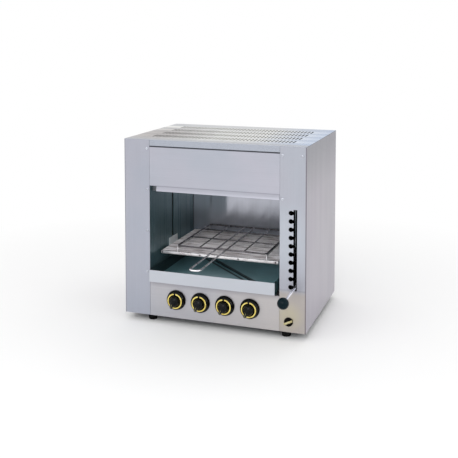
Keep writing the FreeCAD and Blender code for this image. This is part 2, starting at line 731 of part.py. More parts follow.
def build_tap(index, x):
    barrel = rod("y", x, "front_y + tap_front", "gas_z", "tap_radius",
                 "manifold_setback - tap_front")
    saddle = rod("x", f"{x} - saddle_width / 2", "gas_y", "gas_z", "saddle_radius", "saddle_width")
    outlet = rod("z", x, "front_y + outlet_setback", "gas_z", "outlet_radius", "outlet_rise")
    seat = rod("x", f"{x} - saddle_width", "gas_y", "gas_z", "manifold_radius + running_fit",
               "2 * saddle_width")
    shaft = rod("y", x, "front_y", "gas_z", "spindle_radius + running_fit",
                "tap_front + spindle_depth")
    taps.append(cut(fuse(barrel, saddle, outlet), seat, shaft))
    spindle = rod("y", x, "front_y - spindle_reach", "gas_z", "spindle_radius",
                  "spindle_reach + tap_front + spindle_depth - seam")
    flat = box(f"{x} - spindle_radius", "front_y - 2 * spindle_reach", "gas_z + spindle_flat",
               "2 * spindle_radius", "2 * spindle_reach", "spindle_radius")
    node(cut(spindle, flat), f"tap_spindle_{index}")
    x_tap = number("knob_x") + (index - 1) * number("knob_pitch")
    x_burner = number("open_mid") + (index - 2.5) * number("burner_pitch")
    front = number("front_y") + number("outlet_setback")
    back = number("front_y") + number("tube_setback")
    low = number("floor_z") + number("tube_level")
    high = number("burner_z") + number("venturi_level")
    start = number("gas_z") + number("outlet_rise")
    end = (number("front_y") + number("burner_setback") + number("burner_length")
           + number("venturi_length") + 3 * number("skin") + number("injector_length"))
    tube(f"supply_tube_{index}",
         [(x_tap, front, start), (x_tap, front, low), (x_burner, back, low),
          (x_burner, back, high), (x_burner, end, high)],
         number("tube_radius"), number("tube_bore"), number("tube_bend"))


def build_knob(index, x):
    """A skirted knob with a raised ring, a domed middle and a pointer grip."""
    knob = body(f"knob_{index}")
    profile = sketch(knob, "XY_Plane", "profile")
    outline(profile, ("0", "0"), ("knob_radius", "0"), ("knob_radius", "knob_edge"),
            ("knob_neck", "knob_skirt"), ("knob_ring", "knob_skirt"),
            ("knob_ring", "knob_skirt - knob_dish"), ("dome_radius", "knob_skirt - knob_dish"),
            ("dome_shoulder", "dome_step"), ("dome_crown", "dome_height"), ("0", "dome_height"))
    spin(knob, profile)
    grip = sketch(knob, "XZ_Plane", "grip")
    half = "grip_width / 2"
    outline(grip, (f"-{half}", f"{half} - grip_reach"), ("-grip_tip", "-grip_reach"),
            ("grip_tip", "-grip_reach"), (half, f"{half} - grip_reach"),
            (half, "grip_tail - grip_bevel"), ("grip_tip", "grip_tail"),
            ("-grip_tip", "grip_tail"), (f"-{half}", "grip_tail - grip_bevel"))
    pad(knob, grip, "knob_height", reverse=True)
    bore = sketch(knob, "XZ_Plane", "bore")
    disc(bore, "0", "0", "spindle_radius + running_fit")
    hole = knob.newObject("PartDesign::Pocket", "bore_cut")
    hole.Profile = bore
    bind(hole, Length="knob_height - knob_cap")
    knob.Tip = hole
    turned = FreeCAD.Rotation(FreeCAD.Vector(0, 0, 1), 180)
    tilt = FreeCAD.Rotation(FreeCAD.Vector(0, 1, 0), number("knob_turn"))
    knob.Placement = FreeCAD.Placement(FreeCAD.Vector(), tilt.multiply(turned))
    place(knob, x, "knob_y", "gas_z")


def build_bezels():
    rings = []
    for x in knob_places:
        plate = cone("y", x, "bezel_y", "gas_z", "bezel_radius - bezel_thickness / 2",
                     "bezel_radius", "bezel_thickness")
        rings.append(cut(plate, rod("y", x, "bezel_y - skin", "gas_z", "bezel_hole",
                                    "bezel_thickness + 2 * skin")))
    pilot = rod("y", "pilot_x", "front_y - pilot_plate", "pilot_z", "pilot_radius", "pilot_plate")
    rings.append(cut(pilot, rod("y", "pilot_x", "front_y - 2 * pilot_plate", "pilot_z",
                                "pilot_stem + running_fit", "3 * pilot_plate")))
    node(group(*rings), "knob_bezels")


def build_pilot():
    barrel = rod("y", "pilot_x", "front_y + skin", "pilot_z", "pilot_body",
                 "manifold_setback - skin")
    block = box("pilot_x - pilot_block / 2", "gas_y - pilot_block / 2", "pilot_z - pilot_block / 2",
                "pilot_block", "pilot_block", "pilot_block")
    hole = rod("y", "pilot_x", "front_y", "pilot_z", "pilot_stem + running_fit",
               "pilot_depth")
    node(cut(fuse(barrel, block), hole), "pilot_tap")
    stem = rod("y", "pilot_x", "front_y - pilot_plate - seam - pilot_bar_height", "pilot_z",
               "pilot_stem", "pilot_plate + pilot_bar_height + pilot_depth")
    bar = box("-pilot_bar / 2", "-pilot_bar_height", "-pilot_bar_width / 2", "pilot_bar",
              "pilot_bar_height", "pilot_bar_width")
    bar_placed = turn(group(bar), (0, 1, 0), "-pilot_turn")
    place(bar_placed, "pilot_x", "front_y - pilot_plate - seam", "pilot_z")
    node(fuse(stem, bar_placed), "pilot_lever")
    x = number("pilot_x")
    y = number("gas_y") + number("pilot_block") / 2
    z = number("pilot_z")
    run = number("front_y") + number("pilot_run")
    column = number("left_x") + number("pilot_column")
    flame_y = number("front_y") + number("pilot_flame_setback")
    flame_z = number("floor_z") + number("pilot_flame_level")
    burner = number("open_left") + number("pilot_burner_gap")
    tube("pilot_tube", [(x, y, z), (x, run, z), (column, run, z), (column, run, flame_z),
                        (column, flame_y, flame_z), (burner, flame_y, flame_z)],
         number("pilot_tube"), number("pilot_bore"), number("pilot_bend"))
    head = rod("x", "open_left + pilot_burner_gap", "front_y + pilot_flame_setback",
               "floor_z + pilot_flame_level", "pilot_burner_radius", "pilot_burner_length")
    hanger = box("open_left + pilot_burner_gap + pilot_burner_length / 2",
                 "front_y + pilot_flame_setback - pilot_burner_radius / 2",
                 "floor_z + pilot_flame_level", "skin * 2", "pilot_burner_radius",
                 "burner_level - pilot_flame_level - skin")
    node(fuse(head, hanger), "pilot_burner")


# Lift: cross shaft, two arms, lever, carrier


def build_lift():
    node(rod("x", "open_left - shaft_overhang", "pivot_y", "pivot_z", "shaft_radius",
             "open_width + 2 * shaft_overhang"), "lift_shaft")
    bushes = []
    for x, flange_x in (("open_left - skin", "open_left - skin - bush_flange_thickness"),
                        ("open_right", "open_right + skin")):
        sleeve = rod("x", x, "pivot_y", "pivot_z", "shaft_radius + bush_wall", "skin")
        flange = rod("x", flange_x, "pivot_y", "pivot_z", "bush_flange", "bush_flange_thickness")
        hole = rod("x", f"{x} - 2 * bush_flange_thickness", "pivot_y", "pivot_z",
                   "shaft_radius + running_fit", "5 * bush_flange_thickness")
        bushes.append(cut(fuse(sleeve, flange), hole))
    node(group(*bushes), "shaft_bushes")
    for label, x in (("lift_arm_left", "open_left - arm_gap - arm_thickness"),
                     ("lift_arm_right", "open_right + arm_gap")):
        build_arm(label, x)


def build_arm(label, x):
    """A flat arm with a hub on the shaft and a long hole for the carrier's pin."""
    run = "(pin_arm / cos(lift_tilt) + pin_arm) / 2"
    play = "((pin_arm / cos(lift_tilt) - pin_arm) / 2 + pin_play)"
    bar = box("0", f"-{run} - {play} - arm_nose", "-arm_height / 2", "arm_thickness",
              f"{run} + {play} + arm_nose", "arm_height")
    hub_x = "0" if label == "lift_arm_right" else "arm_thickness - hub_length"
    hub = rod("x", hub_x, "0", "0", "hub_radius", "hub_length")
    bore = rod("x", "-hub_length", "0", "0", "shaft_radius + running_fit", "3 * hub_length")
    width = "(pin_radius + pin_play)"
    middle = box("-arm_thickness", f"-{run} - {play}", f"-{width}", "3 * arm_thickness",
                 f"2 * {play}", f"2 * {width}")
    ends = [rod("x", "-arm_thickness", f"-{run} {sign} {play}", "0", width, "3 * arm_thickness")
            for sign in "+-"]
    pieces = [bar, hub]
    tools = [bore, fuse(middle, *ends)]
    if label == "lift_arm_right":
        reach = "slot_x - open_right - arm_gap + lever_eye"
        lug_y = "-(pivot_setback - lever_pivot_setback) / cos(lift_tilt)"
        for z in ("lever_eye_height / 2 + lug_gap", "-lever_eye_height / 2 - lug_gap - lug_thickness"):
            pieces.append(box("0", f"{lug_y} - lever_eye", z, reach, "2 * lever_eye",
                              "lug_thickness"))
        tools.append(rod("z", "slot_x - open_right - arm_gap", lug_y, "-lever_eye_height",
                         "lever_pin + running_fit", "2 * lever_eye_height"))
    arm = turn(cut(fuse(*pieces), *tools), (1, 0, 0), "lift_tilt")
    node(place(arm, x, "pivot_y", "pivot_z"), label)


def tilted(item):
    """Turns a piece drawn along the lever's line about the shaft, to the lowest notch."""
    return place(turn(item, (1, 0, 0), "lift_tilt"), "slot_x", "pivot_y", "pivot_z")


def build_lever():
    lug_y = "-(pivot_setback - lever_pivot_setback) / cos(lift_tilt)"
    height = "lever_eye_height / 2 + lug_gap + lug_thickness"
    pin = rod("z", "0", lug_y, f"-({height})", "lever_pin", f"2 * ({height})")
    head = rod("z", "0", lug_y, height, "lever_pin_head", "lever_pin_cap")
    node(tilted(fuse(pin, head)), "lever_pivot_pin")
    bend = "pivot_setback / cos(lift_tilt) + 2 * lever_radius"
    reach = "lever_reach - 2 * lever_radius"
    eye = rod("z", "0", lug_y, "-lever_eye_height / 2", "lever_eye", "lever_eye_height")
    straight = rod("y", "0", f"-({bend})", "0", "lever_radius", f"{bend} + {lug_y}")
    knee = doc.addObject("Part::Sphere", "knee")
    bind(knee, Radius="lever_radius")
    place(knee, "0", f"-({bend})", "0")
    lean = f"atan(lever_set / ({reach}))"
    length = f"sqrt(lever_set * lever_set + ({reach}) * ({reach}))"
    tail = rod("y", "0", f"-({length})", "0", "lever_radius", f"{length}")
    bent = place(turn(group(tail), (0, 0, 1), f"-({lean})"), "0", f"-({bend})", "0")
    hole = rod("z", "0", lug_y, "-lever_eye_height", "lever_pin + running_fit",
               "2 * lever_eye_height")
    node(tilted(cut(fuse(eye, straight, knee, bent), hole)), "lever_rod")
    ball = doc.addObject("Part::Sphere", "ball")
    bind(ball, Radius="ball_radius")
    place(ball, "0", f"-({length}) - ball_socket / 2", "0")
    hollow = rod("y", "0", f"-({length}) - seam", "0", "lever_radius + running_fit",
                 "ball_radius * 2")
    drilled = place(turn(cut(ball, hollow), (0, 0, 1), f"-({lean})"), "0", f"-({bend})", "0")
    node(tilted(group(drilled)), "lever_ball")


def build_carrier():
    blocks = []
    brackets = []
    for side in (-1, 1):
        wall = "open_left" if side < 0 else "open_right"
        gap = "carrier_left_gap" if side < 0 else "carrier_right_gap"
        block = span_box(side, wall, "-wall_clearance", "skin + wall_clearance",
                         "guide_y - guide_width / 2 + block_play",
                         "pin_z - block_height / 2", "guide_width - 2 * block_play",
                         "block_height")
        keeper = span_box(side, wall, "skin + wall_clearance",
                          "skin + wall_clearance + keeper_thickness",
                          "guide_y - keeper_width / 2", "pin_z - block_height / 2",
                          "keeper_width", "block_height")
        reach = "arm_gap + arm_thickness + keeper_thickness"
        pin_x = f"{wall} - ({reach})" if side < 0 else f"{wall} + skin"
        pin = rod("x", pin_x, "guide_y", "pin_z", "pin_radius", f"{reach} - skin")
        blocks.append(fuse(block, keeper, pin))
        plate = span_box(side, wall, "-wall_clearance - bracket_thickness", "-wall_clearance",
                         "guide_y - bracket_width / 2", "pin_z - bracket_height / 2",
                         "bracket_width", "bracket_height")
        foot = span_box(side, wall, f"-{gap} - foot_overlap", "-wall_clearance",
                        "guide_y - bracket_width / 2",
                        "carrier_z - 2 * carrier_rod - bracket_thickness",
                        "bracket_width", "bracket_thickness")
        brackets.append(fuse(plate, foot))
    node(group(*blocks), "slide_blocks")
    node(group(*brackets), "carrier_brackets")
    build_carrier_frame()
    build_carrier_mesh()


def span_box(side, wall, near, far, y, z, depth, height):
    """A box beside a cavity wall; distances count outwards from the wall's inner face."""
    x = f"{wall} - ({far})" if side < 0 else f"{wall} + ({near})"
    return box(x, y, z, f"({far}) - ({near})", depth, height)


def build_carrier_frame():
    rod_z = "carrier_z - carrier_rod"
    back = "carrier_front_y + carrier_depth"
    bar = box("carrier_left - carrier_rod", "carrier_front_y - carrier_bar_thickness / 2",
              "carrier_z - carrier_bar", "carrier_right - carrier_left + 2 * carrier_rod",
              "carrier_bar_thickness", "carrier_bar")
    pieces = [bar]
    for x in ("carrier_left", "carrier_right"):
        pieces.append(rod("y", x, "carrier_front_y", rod_z, "side_rod", "carrier_depth"))
    pieces.append(rod("x", "carrier_left - carrier_rod", back, rod_z, "carrier_rod",
                      "carrier_right - carrier_left + 2 * carrier_rod"))
    runner_z = "rack_z - rack_rod - rack_clearance - runner_rod"
    for x in ("rack_left", "rack_right"):
        pieces.append(rod("y", x, "carrier_front_y - runner_overhang", runner_z, "runner_rod",
                          "carrier_depth + 2 * runner_overhang"))
        for y in ("carrier_front_y", back):
            pieces.append(rod("z", x, y, rod_z, "riser_rod",
                              f"{runner_z} - carrier_z + carrier_rod"))
    node(fuse(*pieces), "carrier_frame")


def build_carrier_mesh():
    """The wire cloth laid on the carrier's side rods, drawn as one holed sheet."""
    net = doc.addObject("Part::Feature", "carrier_mesh")
    columns = int(number("mesh_columns"))
    rows = int(number("mesh_rows"))
    wire = number("mesh_wire")
    margin = number("riser_rod") + number("mesh_clearance")
    left = number("carrier_left")
    front = number("carrier_front_y") + margin
    width = number("carrier_right") - left
    depth = number("carrier_depth") - 2 * margin
    step_x = (width - wire) / columns
    step_y = (depth - wire) / rows
    level = number("carrier_z") - number("carrier_rod") + number("side_rod")
    holes = [rectangle(left + wire + i * step_x, front + wire + j * step_y,
                       step_x - wire, step_y - wire, level)
             for i in range(columns) for j in range(rows)]
    face = Part.Face([rectangle(left, front, width, depth, level)] + holes)
    face.validate()
    net.Shape = face.extrude(FreeCAD.Vector(0, 0, number("mesh_thickness")))
    node(net, "carrier_mesh")


def build_rack():
    """The lift-out wire rack: a frame, inner rods and a long handle, welded."""
    back = "rack_front_y + rack_depth"
    pieces = []
    for x, radius in (("rack_left", "rack_side_rod"),
                      ("rack_mid - rack_width / 4", "rack_inner_rod"),
                      ("rack_mid + rack_width / 4", "rack_inner_rod"),
                      ("rack_right", "rack_side_rod")):
        pieces.append(rod("y", x, "rack_front_y", "rack_z", radius, "rack_depth"))
    for y, radius in (("rack_front_y", "rack_rod"),
                      ("rack_front_y + rack_cross_first", "rack_inner_rod"),
                      ("rack_front_y + rack_cross_second", "rack_inner_rod"), (back, "rack_rod")):
        pieces.append(rod("x", "rack_left - rack_rod", y, "rack_z", radius,
                          "rack_width + 2 * rack_rod"))
    loop = doc.addObject("Part::Torus", "loop")
    bind(loop, Radius1="handle_width / 2", Radius2="rack_side_rod", Angle3="180")
    loop.Placement = FreeCAD.Placement(FreeCAD.Vector(), FreeCAD.Rotation(FreeCAD.Vector(0, 0, 1), 180))
    place(loop, "rack_mid", "front_y - handle_reach + handle_width / 2 + rack_side_rod", "rack_z")
    for side in "+-":
        pieces.append(rod("y", f"rack_mid {side} handle_width / 2",
                          "front_y - handle_reach + handle_width / 2 + rack_side_rod", "rack_z",
                          "rack_side_rod",
                          "rack_inset + rack_depth + handle_reach - handle_width / 2"
                          " - rack_side_rod"))
    node(fuse(*pieces, loop), "rack_frame")


def rectangle(x, y, width, depth, z):
    corners = [(x, y), (x + width, y), (x + width, y + depth), (x, y + depth), (x, y)]
    return Part.makePolygon([FreeCAD.Vector(a, b, z) for a, b in corners])


def build_drip_tray():
    """A folded pan with a front plate and a channel pressed along its diagonal."""
    floor = "tray_z"
    left = "tray_left + tray_side_gap"
    width = "tray_right - tray_left - 2 * tray_side_gap"
    depth = "cavity_depth - tray_rear_gap + tray_reach"
    wall = "tray_front_top - tray_floor"
    pan = box(left, "tray_front_y", floor, width, depth, wall)
    plate = box("tray_left", "tray_front_y", "floor_z + tray_front_bottom",
                "tray_right - tray_left", "skin", "tray_front_top - tray_front_bottom")
    ends = [box(x, "tray_front_y", "floor_z + tray_front_bottom", "skin", "tray_return",
                "tray_front_top - tray_front_bottom")
            for x in ("tray_left", "tray_right - skin")]
    inside = box(f"{left} + skin", "tray_front_y + skin", f"{floor} + skin",
                 f"{width} - 2 * skin", f"{depth} - 2 * skin", wall)
    trough = diagonal("channel_width + 2 * skin", f"{floor} - channel_depth",
                      "channel_depth + skin", width, depth, left)
    groove = diagonal("channel_width", f"{floor} - channel_depth + skin",
                      "channel_depth + skin", width, depth, left)
    node(cut(fuse(pan, plate, *ends, trough), inside, groove), "drip_tray")


def diagonal(width, z, height, tray_width, tray_depth, left):
    """A bar along the tray's diagonal, kept clear of the runners at its ends."""
    spread = f"(({tray_width}) * ({tray_width}) + ({tray_depth}) * ({tray_depth}))"
    bar = box(f"-sqrt({spread}) / 2", f"-({width}) / 2", "0", f"sqrt({spread})", width, height)
    laid = turn(group(bar), (0, 0, 1), f"-atan(({tray_depth}) / ({tray_width}))")
    place(laid, f"{left} + ({tray_width}) / 2", f"tray_front_y + ({tray_depth}) / 2", z)
    limit = box(f"{left} + channel_end", "tray_front_y + channel_end", f"{z} - skin",
                f"{tray_width} - 2 * channel_end", f"{tray_depth} - 2 * channel_end",
                f"{height} + 2 * skin")
    return common(laid, limit)


build_base_pan()
build_feet()
build_side_panels()
build_back_panel()
build_top_cover()
build_left_post()
build_right_post()
build_hood_panel()
build_control_panel()
build_screws()
build_lower_deck()
build_cavity_side("cavity_left_wall", "open_left - skin", "open_left - skin - wall_flange", "left")
build_cavity_side("cavity_right_wall", "open_right", "open_right + skin", "right")
build_cavity_back()
build_tray_runners()
build_burner_deck()
for index, x in enumerate(burner_places, start=1):
    build_burner(index, x)
build_ceramics()
build_injectors()
build_gas_line()
build_inlet()
for index, x in enumerate(knob_places, start=1):
    build_tap(index, x)
    build_knob(index, x)
node(group(*taps), "gas_taps")
build_bezels()
build_pilot()
build_lift()
build_lever()
build_carrier()
build_rack()
build_drip_tray()
doc.recompute()

for item in doc.Objects:
    if "Invalid" in item.State or "Error" in item.State:
        raise RuntimeError(f"{item.Label} ({item.Name}) failed: {item.State}")
for item in doc.Objects:
    if item.TypeId == "PartDesign::Pocket" and item.Shape.Volume > item.BaseFeature.Shape.Volume - 1:
        raise RuntimeError(f"{item.Name} cuts nothing")
for item in nodes:
    if item.Shape.isNull() or not item.Shape.isValid():
        raise RuntimeError(f"{item.Label} has no valid shape")

os.makedirs("parts", exist_ok=True)
for item in nodes:
    item.Shape.exportStep(f"parts/{item.Label}.step")
    solids = len(item.Shape.Solids)
    print(f"{item.Label}: {solids} solid{'s' * (solids != 1)}, {item.Shape.Volume / 1000:.1f} cm3")
print(len(nodes), "nodes")
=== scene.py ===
import bmesh
import bpy
import json
import math
from mathutils import Matrix, Vector


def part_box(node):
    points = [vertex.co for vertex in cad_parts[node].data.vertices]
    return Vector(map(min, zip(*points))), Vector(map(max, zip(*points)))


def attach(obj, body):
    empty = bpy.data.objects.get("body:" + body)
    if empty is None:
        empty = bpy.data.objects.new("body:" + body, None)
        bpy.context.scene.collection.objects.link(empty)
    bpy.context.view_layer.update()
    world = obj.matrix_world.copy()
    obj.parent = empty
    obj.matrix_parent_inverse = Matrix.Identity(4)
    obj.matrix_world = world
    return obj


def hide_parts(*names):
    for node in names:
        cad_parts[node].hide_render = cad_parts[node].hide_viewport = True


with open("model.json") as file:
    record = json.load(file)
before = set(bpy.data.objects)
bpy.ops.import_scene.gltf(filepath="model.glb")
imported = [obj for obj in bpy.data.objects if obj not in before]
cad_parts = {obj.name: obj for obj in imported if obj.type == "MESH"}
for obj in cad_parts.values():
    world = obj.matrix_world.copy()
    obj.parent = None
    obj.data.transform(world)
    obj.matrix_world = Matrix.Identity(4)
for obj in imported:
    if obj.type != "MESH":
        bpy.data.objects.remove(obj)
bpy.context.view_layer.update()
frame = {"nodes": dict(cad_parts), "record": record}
nodes = frame["nodes"]
bodyOf = {node: body for body, group in frame["record"]["behaviour"]["bodies"].items() for node in group}
mm = 0.001
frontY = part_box("left_front_post")[0].y   # the front of the casing
print("frame loaded:", len(nodes), "nodes")


# Camera, found from the photograph's straight edges

view = {
    "place": (819.4, -2347.5, 905.8),   # mm from the middle of the base
    "turn": 0.3337,                     # radians to the left
    "dip": 0.0726,                      # radians down
    "focal": 796.0,                     # pixels of the photograph
    "photoSide": 458.0,
    "axisRow": 88.285,                  # the row of pixels that the lens points at
    "sensor": 36.0,
}


def addCamera():
    camera = bpy.data.cameras.new("camera")
    camera.sensor_width = view["sensor"]
    camera.lens = view["focal"] / view["photoSide"] * view["sensor"]
    camera.shift_y = view["axisRow"] / view["photoSide"] - 0.5
    camera.clip_end = 50
    holder = bpy.data.objects.new("camera", camera)
    holder.location = Vector(view["place"]) * mm
    holder.rotation_euler = (math.pi / 2 - view["dip"], 0, view["turn"])
    bpy.context.scene.collection.objects.link(holder)
    bpy.context.scene.camera = holder


addCamera()
print("camera set")


# Nodes, for finishes and for repeated shapes


class Socket:                           # an output socket that can be used in sums
    def __init__(self, desk, socket):
        self.desk, self.socket = desk, socket

    def sum(self, operation, *terms):
        return self.desk.add("ShaderNodeMath", {"operation": operation}, dict(enumerate(terms)))

    def __add__(self, other):
        return self.sum("ADD", self, other)

    def __mul__(self, other):
        return self.sum("MULTIPLY", self, other)

    def __sub__(self, other):
        return self.sum("SUBTRACT", self, other)

    def __rsub__(self, other):
        return self.sum("SUBTRACT", other, self)

    def __truediv__(self, other):
        return self.sum("DIVIDE", self, other)

    def __abs__(self):
        return self.sum("ABSOLUTE", self)

    def cosine(self):
        return self.sum("COSINE", self)

    __radd__, __rmul__ = __add__, __mul__


class Desk:                             # a node tree, and how nodes are put into it
    def add(self, kind, settings={}, values={}, output=0):
        node = self.tree.nodes.new(kind)
        for name, value in settings.items():
            if name == "stops":
                while len(node.color_ramp.elements) < len(value):
                    node.color_ramp.elements.new(0.5)
                for element, (position, level) in zip(node.color_ramp.elements, value):
                    element.position = position
                    element.color = (level, level, level, 1)
            else:
                setattr(node, name, value)
        for name, value in values.items():
            self.give(node, name, value)
        return Socket(self, node.outputs[output])

    def give(self, node, name, value):
        if isinstance(value, Socket):
            self.tree.links.new(value.socket, node.inputs[name])
        else:
            node.inputs[name].default_value = value


class Finish(Desk):                     # one material
    def __init__(self, name, **constants):
        self.material = bpy.data.materials.new(name)
        self.material.use_nodes = True
        self.tree = self.material.node_tree
        self.shader = self.tree.nodes["Principled BSDF"]
        self.place = self.add("ShaderNodeTexCoord", output="Object")
        for name, value in constants.items():
            self.shader.inputs[name.replace("_", " ")].default_value = value

    def stretched(self, scale, move=(0, 0, 0)):
        return self.add("ShaderNodeMapping", {}, {"Vector": self.place, "Scale": scale, "Location": move})

    def noise(self, scale, detail=3, where=None):
        values = {"Vector": where or self.place, "Scale": scale, "Detail": detail}
        return self.add("ShaderNodeTexNoise", {}, values)

    def ramp(self, factor, *stops):
        return self.add("ShaderNodeValToRGB", {"stops": stops}, {"Fac": factor})

    def rise(self, value, start, end):   # 0 before start, 1 after end
        return self.ramp((value - start) * (1 / (end - start)), (0, 0), (1, 1))

    def blend(self, factor, first, second):
        return self.add("ShaderNodeMix", {"data_type": "RGBA"}, {"Factor": factor, 6: first, 7: second}, 2)

    def along(self, axis):               # the place's level along X, Y, Z or a direction
        if isinstance(axis, str):
            return self.add("ShaderNodeSeparateXYZ", {}, {"Vector": self.place}, axis)
        return self.add("ShaderNodeVectorMath", {"operation": "DOT_PRODUCT"}, {0: self.place, 1: axis}, 1)

    def markShare(self, kind, where, first, second):
        if kind == "slope":              # 0 before first, 1 after second, along an axis
            return self.rise(self.along(where), first, second)
        if kind == "patch":              # 1 nearer than first, 0 beyond second, round a spot
            gap = self.add("ShaderNodeVectorMath", {"operation": "DISTANCE"}, {0: self.place, 1: where}, 1)
        else:                            # the same on both sides of a level
            gap = abs(self.along(where[0]) - where[1])
        return 1 - self.rise(gap, first, second)

    def feed(self, name, value):
        self.give(self.shader, name, value)

    def bump(self, height, strength, distance):
        values = {"Height": height, "Strength": strength, "Distance": distance}
        self.feed("Normal", self.add("ShaderNodeBump", {}, values))


class Layout(Desk):                     # a tree of geometry nodes with named inputs
    kinds = {"float": "NodeSocketFloat", "count": "NodeSocketInt", "object": "NodeSocketObject",
             "material": "NodeSocketMaterial", "geometry": "NodeSocketGeometry"}

    def __init__(self, name, **inputs):
        self.tree = bpy.data.node_groups.new(name, "GeometryNodeTree")
        self.tree.interface.new_socket("shape", in_out="OUTPUT", socket_type=self.kinds["geometry"])
        for label, kind in {"spots": "geometry", **inputs, "finish": "material"}.items():
            self.tree.interface.new_socket(label, in_out="INPUT", socket_type=self.kinds[kind])
        self.entry = self.tree.nodes.new("NodeGroupInput")

    def given(self, label):
        return Socket(self, self.entry.outputs[label])

    def close(self, shape):
        real = self.add("GeometryNodeRealizeInstances", {}, {"Geometry": shape})
        coated = self.add("GeometryNodeSetMaterial", {}, {"Geometry": real, "Material": self.given("finish")})
        self.give(self.tree.nodes.new("NodeGroupOutput"), "shape", coated)

    def grow(self, spots, **values):     # the shape for these inputs, as a plain mesh
        holder = bpy.data.objects.new("holder", spots)
        bpy.context.scene.collection.objects.link(holder)
        modifier = holder.modifiers.new("layout", "NODES")
        modifier.node_group = self.tree
        for item in self.tree.interface.items_tree:
            if item.in_out == "INPUT" and item.name in values:
                modifier[item.identifier] = values[item.name]
        seen = holder.evaluated_get(bpy.context.evaluated_depsgraph_get())
        mesh = bpy.data.meshes.new_from_object(seen)
        bpy.data.objects.remove(holder)
        return mesh


# Finishes


def shade(red, green, blue):
    def linear(level):
        level = level / 255
        return level / 12.92 if level <= 0.04045 else ((level + 0.055) / 1.055) ** 2.4
    return (linear(red), linear(green), linear(blue), 1)


grainLines = {"x": (3, 700, 700), "y": (700, 3, 700), "z": (700, 700, 3)}


def brushedSheet(name, look):
    finish = Finish(name, Metallic=look["metallic"], Anisotropic=look["anisotropic"],
                    Anisotropic_Rotation=look["anisotropicTurn"])
    lines = grainLines[look["grain"]]
    wideLines = [value * look["smearWidth"] + 2 for value in lines]
    grain = finish.noise(1, 4, finish.stretched(lines))
    cloud = finish.noise(look["cloudScale"], 3)
    smear = finish.noise(1, 3, finish.stretched(wideLines, look["smearMove"]))
    colour = finish.blend(finish.ramp(cloud, (0.35, 0), (0.65, 1)), look["colour"], look["tint"])
    colour = finish.blend(finish.ramp(grain, (0.45, 0), (0.75, 1)) * look["streak"], colour, look["line"])
    colour = finish.blend(finish.ramp(smear, (0.5, 0), (0.75, 1)) * look["smearShare"], colour, look["line"])
    for kind, where, first, second, share, tint in look.get("marks", ()):
        colour = finish.blend(finish.markShare(kind, where, first, second) * share, colour, tint)
    finish.feed("Base Color", colour)
    finish.feed("Roughness", look["roughness"] + (grain - 0.5) * look["grainShare"]
                + (smear - 0.5) * look["smudge"])
    finish.bump(grain, look["relief"], look["reliefDepth"] * mm)
    return finish.material


sheetLook = {
    "metallic": 0.75, "grain": "x", "cloudScale": 5, "streak": 0.14, "roughness": 0.36, "grainShare": 0.25,
    "smearShare": 0.12, "smearWidth": 0.03, "smearMove": (3, 1, 2), "smudge": 0.12, "relief": 0.25,
    "reliefDepth": 0.15, "anisotropic": 0.0, "anisotropicTurn": 0.25,
    "colour": shade(176, 180, 191), "tint": shade(184, 183, 194), "line": shade(152, 154, 162),
}
foldShadow, seamShadow = shade(104, 95, 104), shade(44, 44, 52)
# the dark inside colour is painted shade on inner faces; the warm beige is a painted warm reflection
paintedInsideShade, paintedWarmReflection = shade(34, 32, 32), shade(180, 170, 158)
slotLevel = 147 * mm                     # the lower end of the lever's slot
lipLevel = 429 * mm                      # the fold between the hood panel and its lip
railLevel = 552 * mm                     # the seam between the hood panel and the rail
groove = {"across": (0.6818, 0.7316, 0.0), "edges": (12 * mm, 33.5 * mm)}   # in the tray
ventRows = (-47.0, 30.0, 107.0, 184.0)   # the middles of the vent slots, in mm
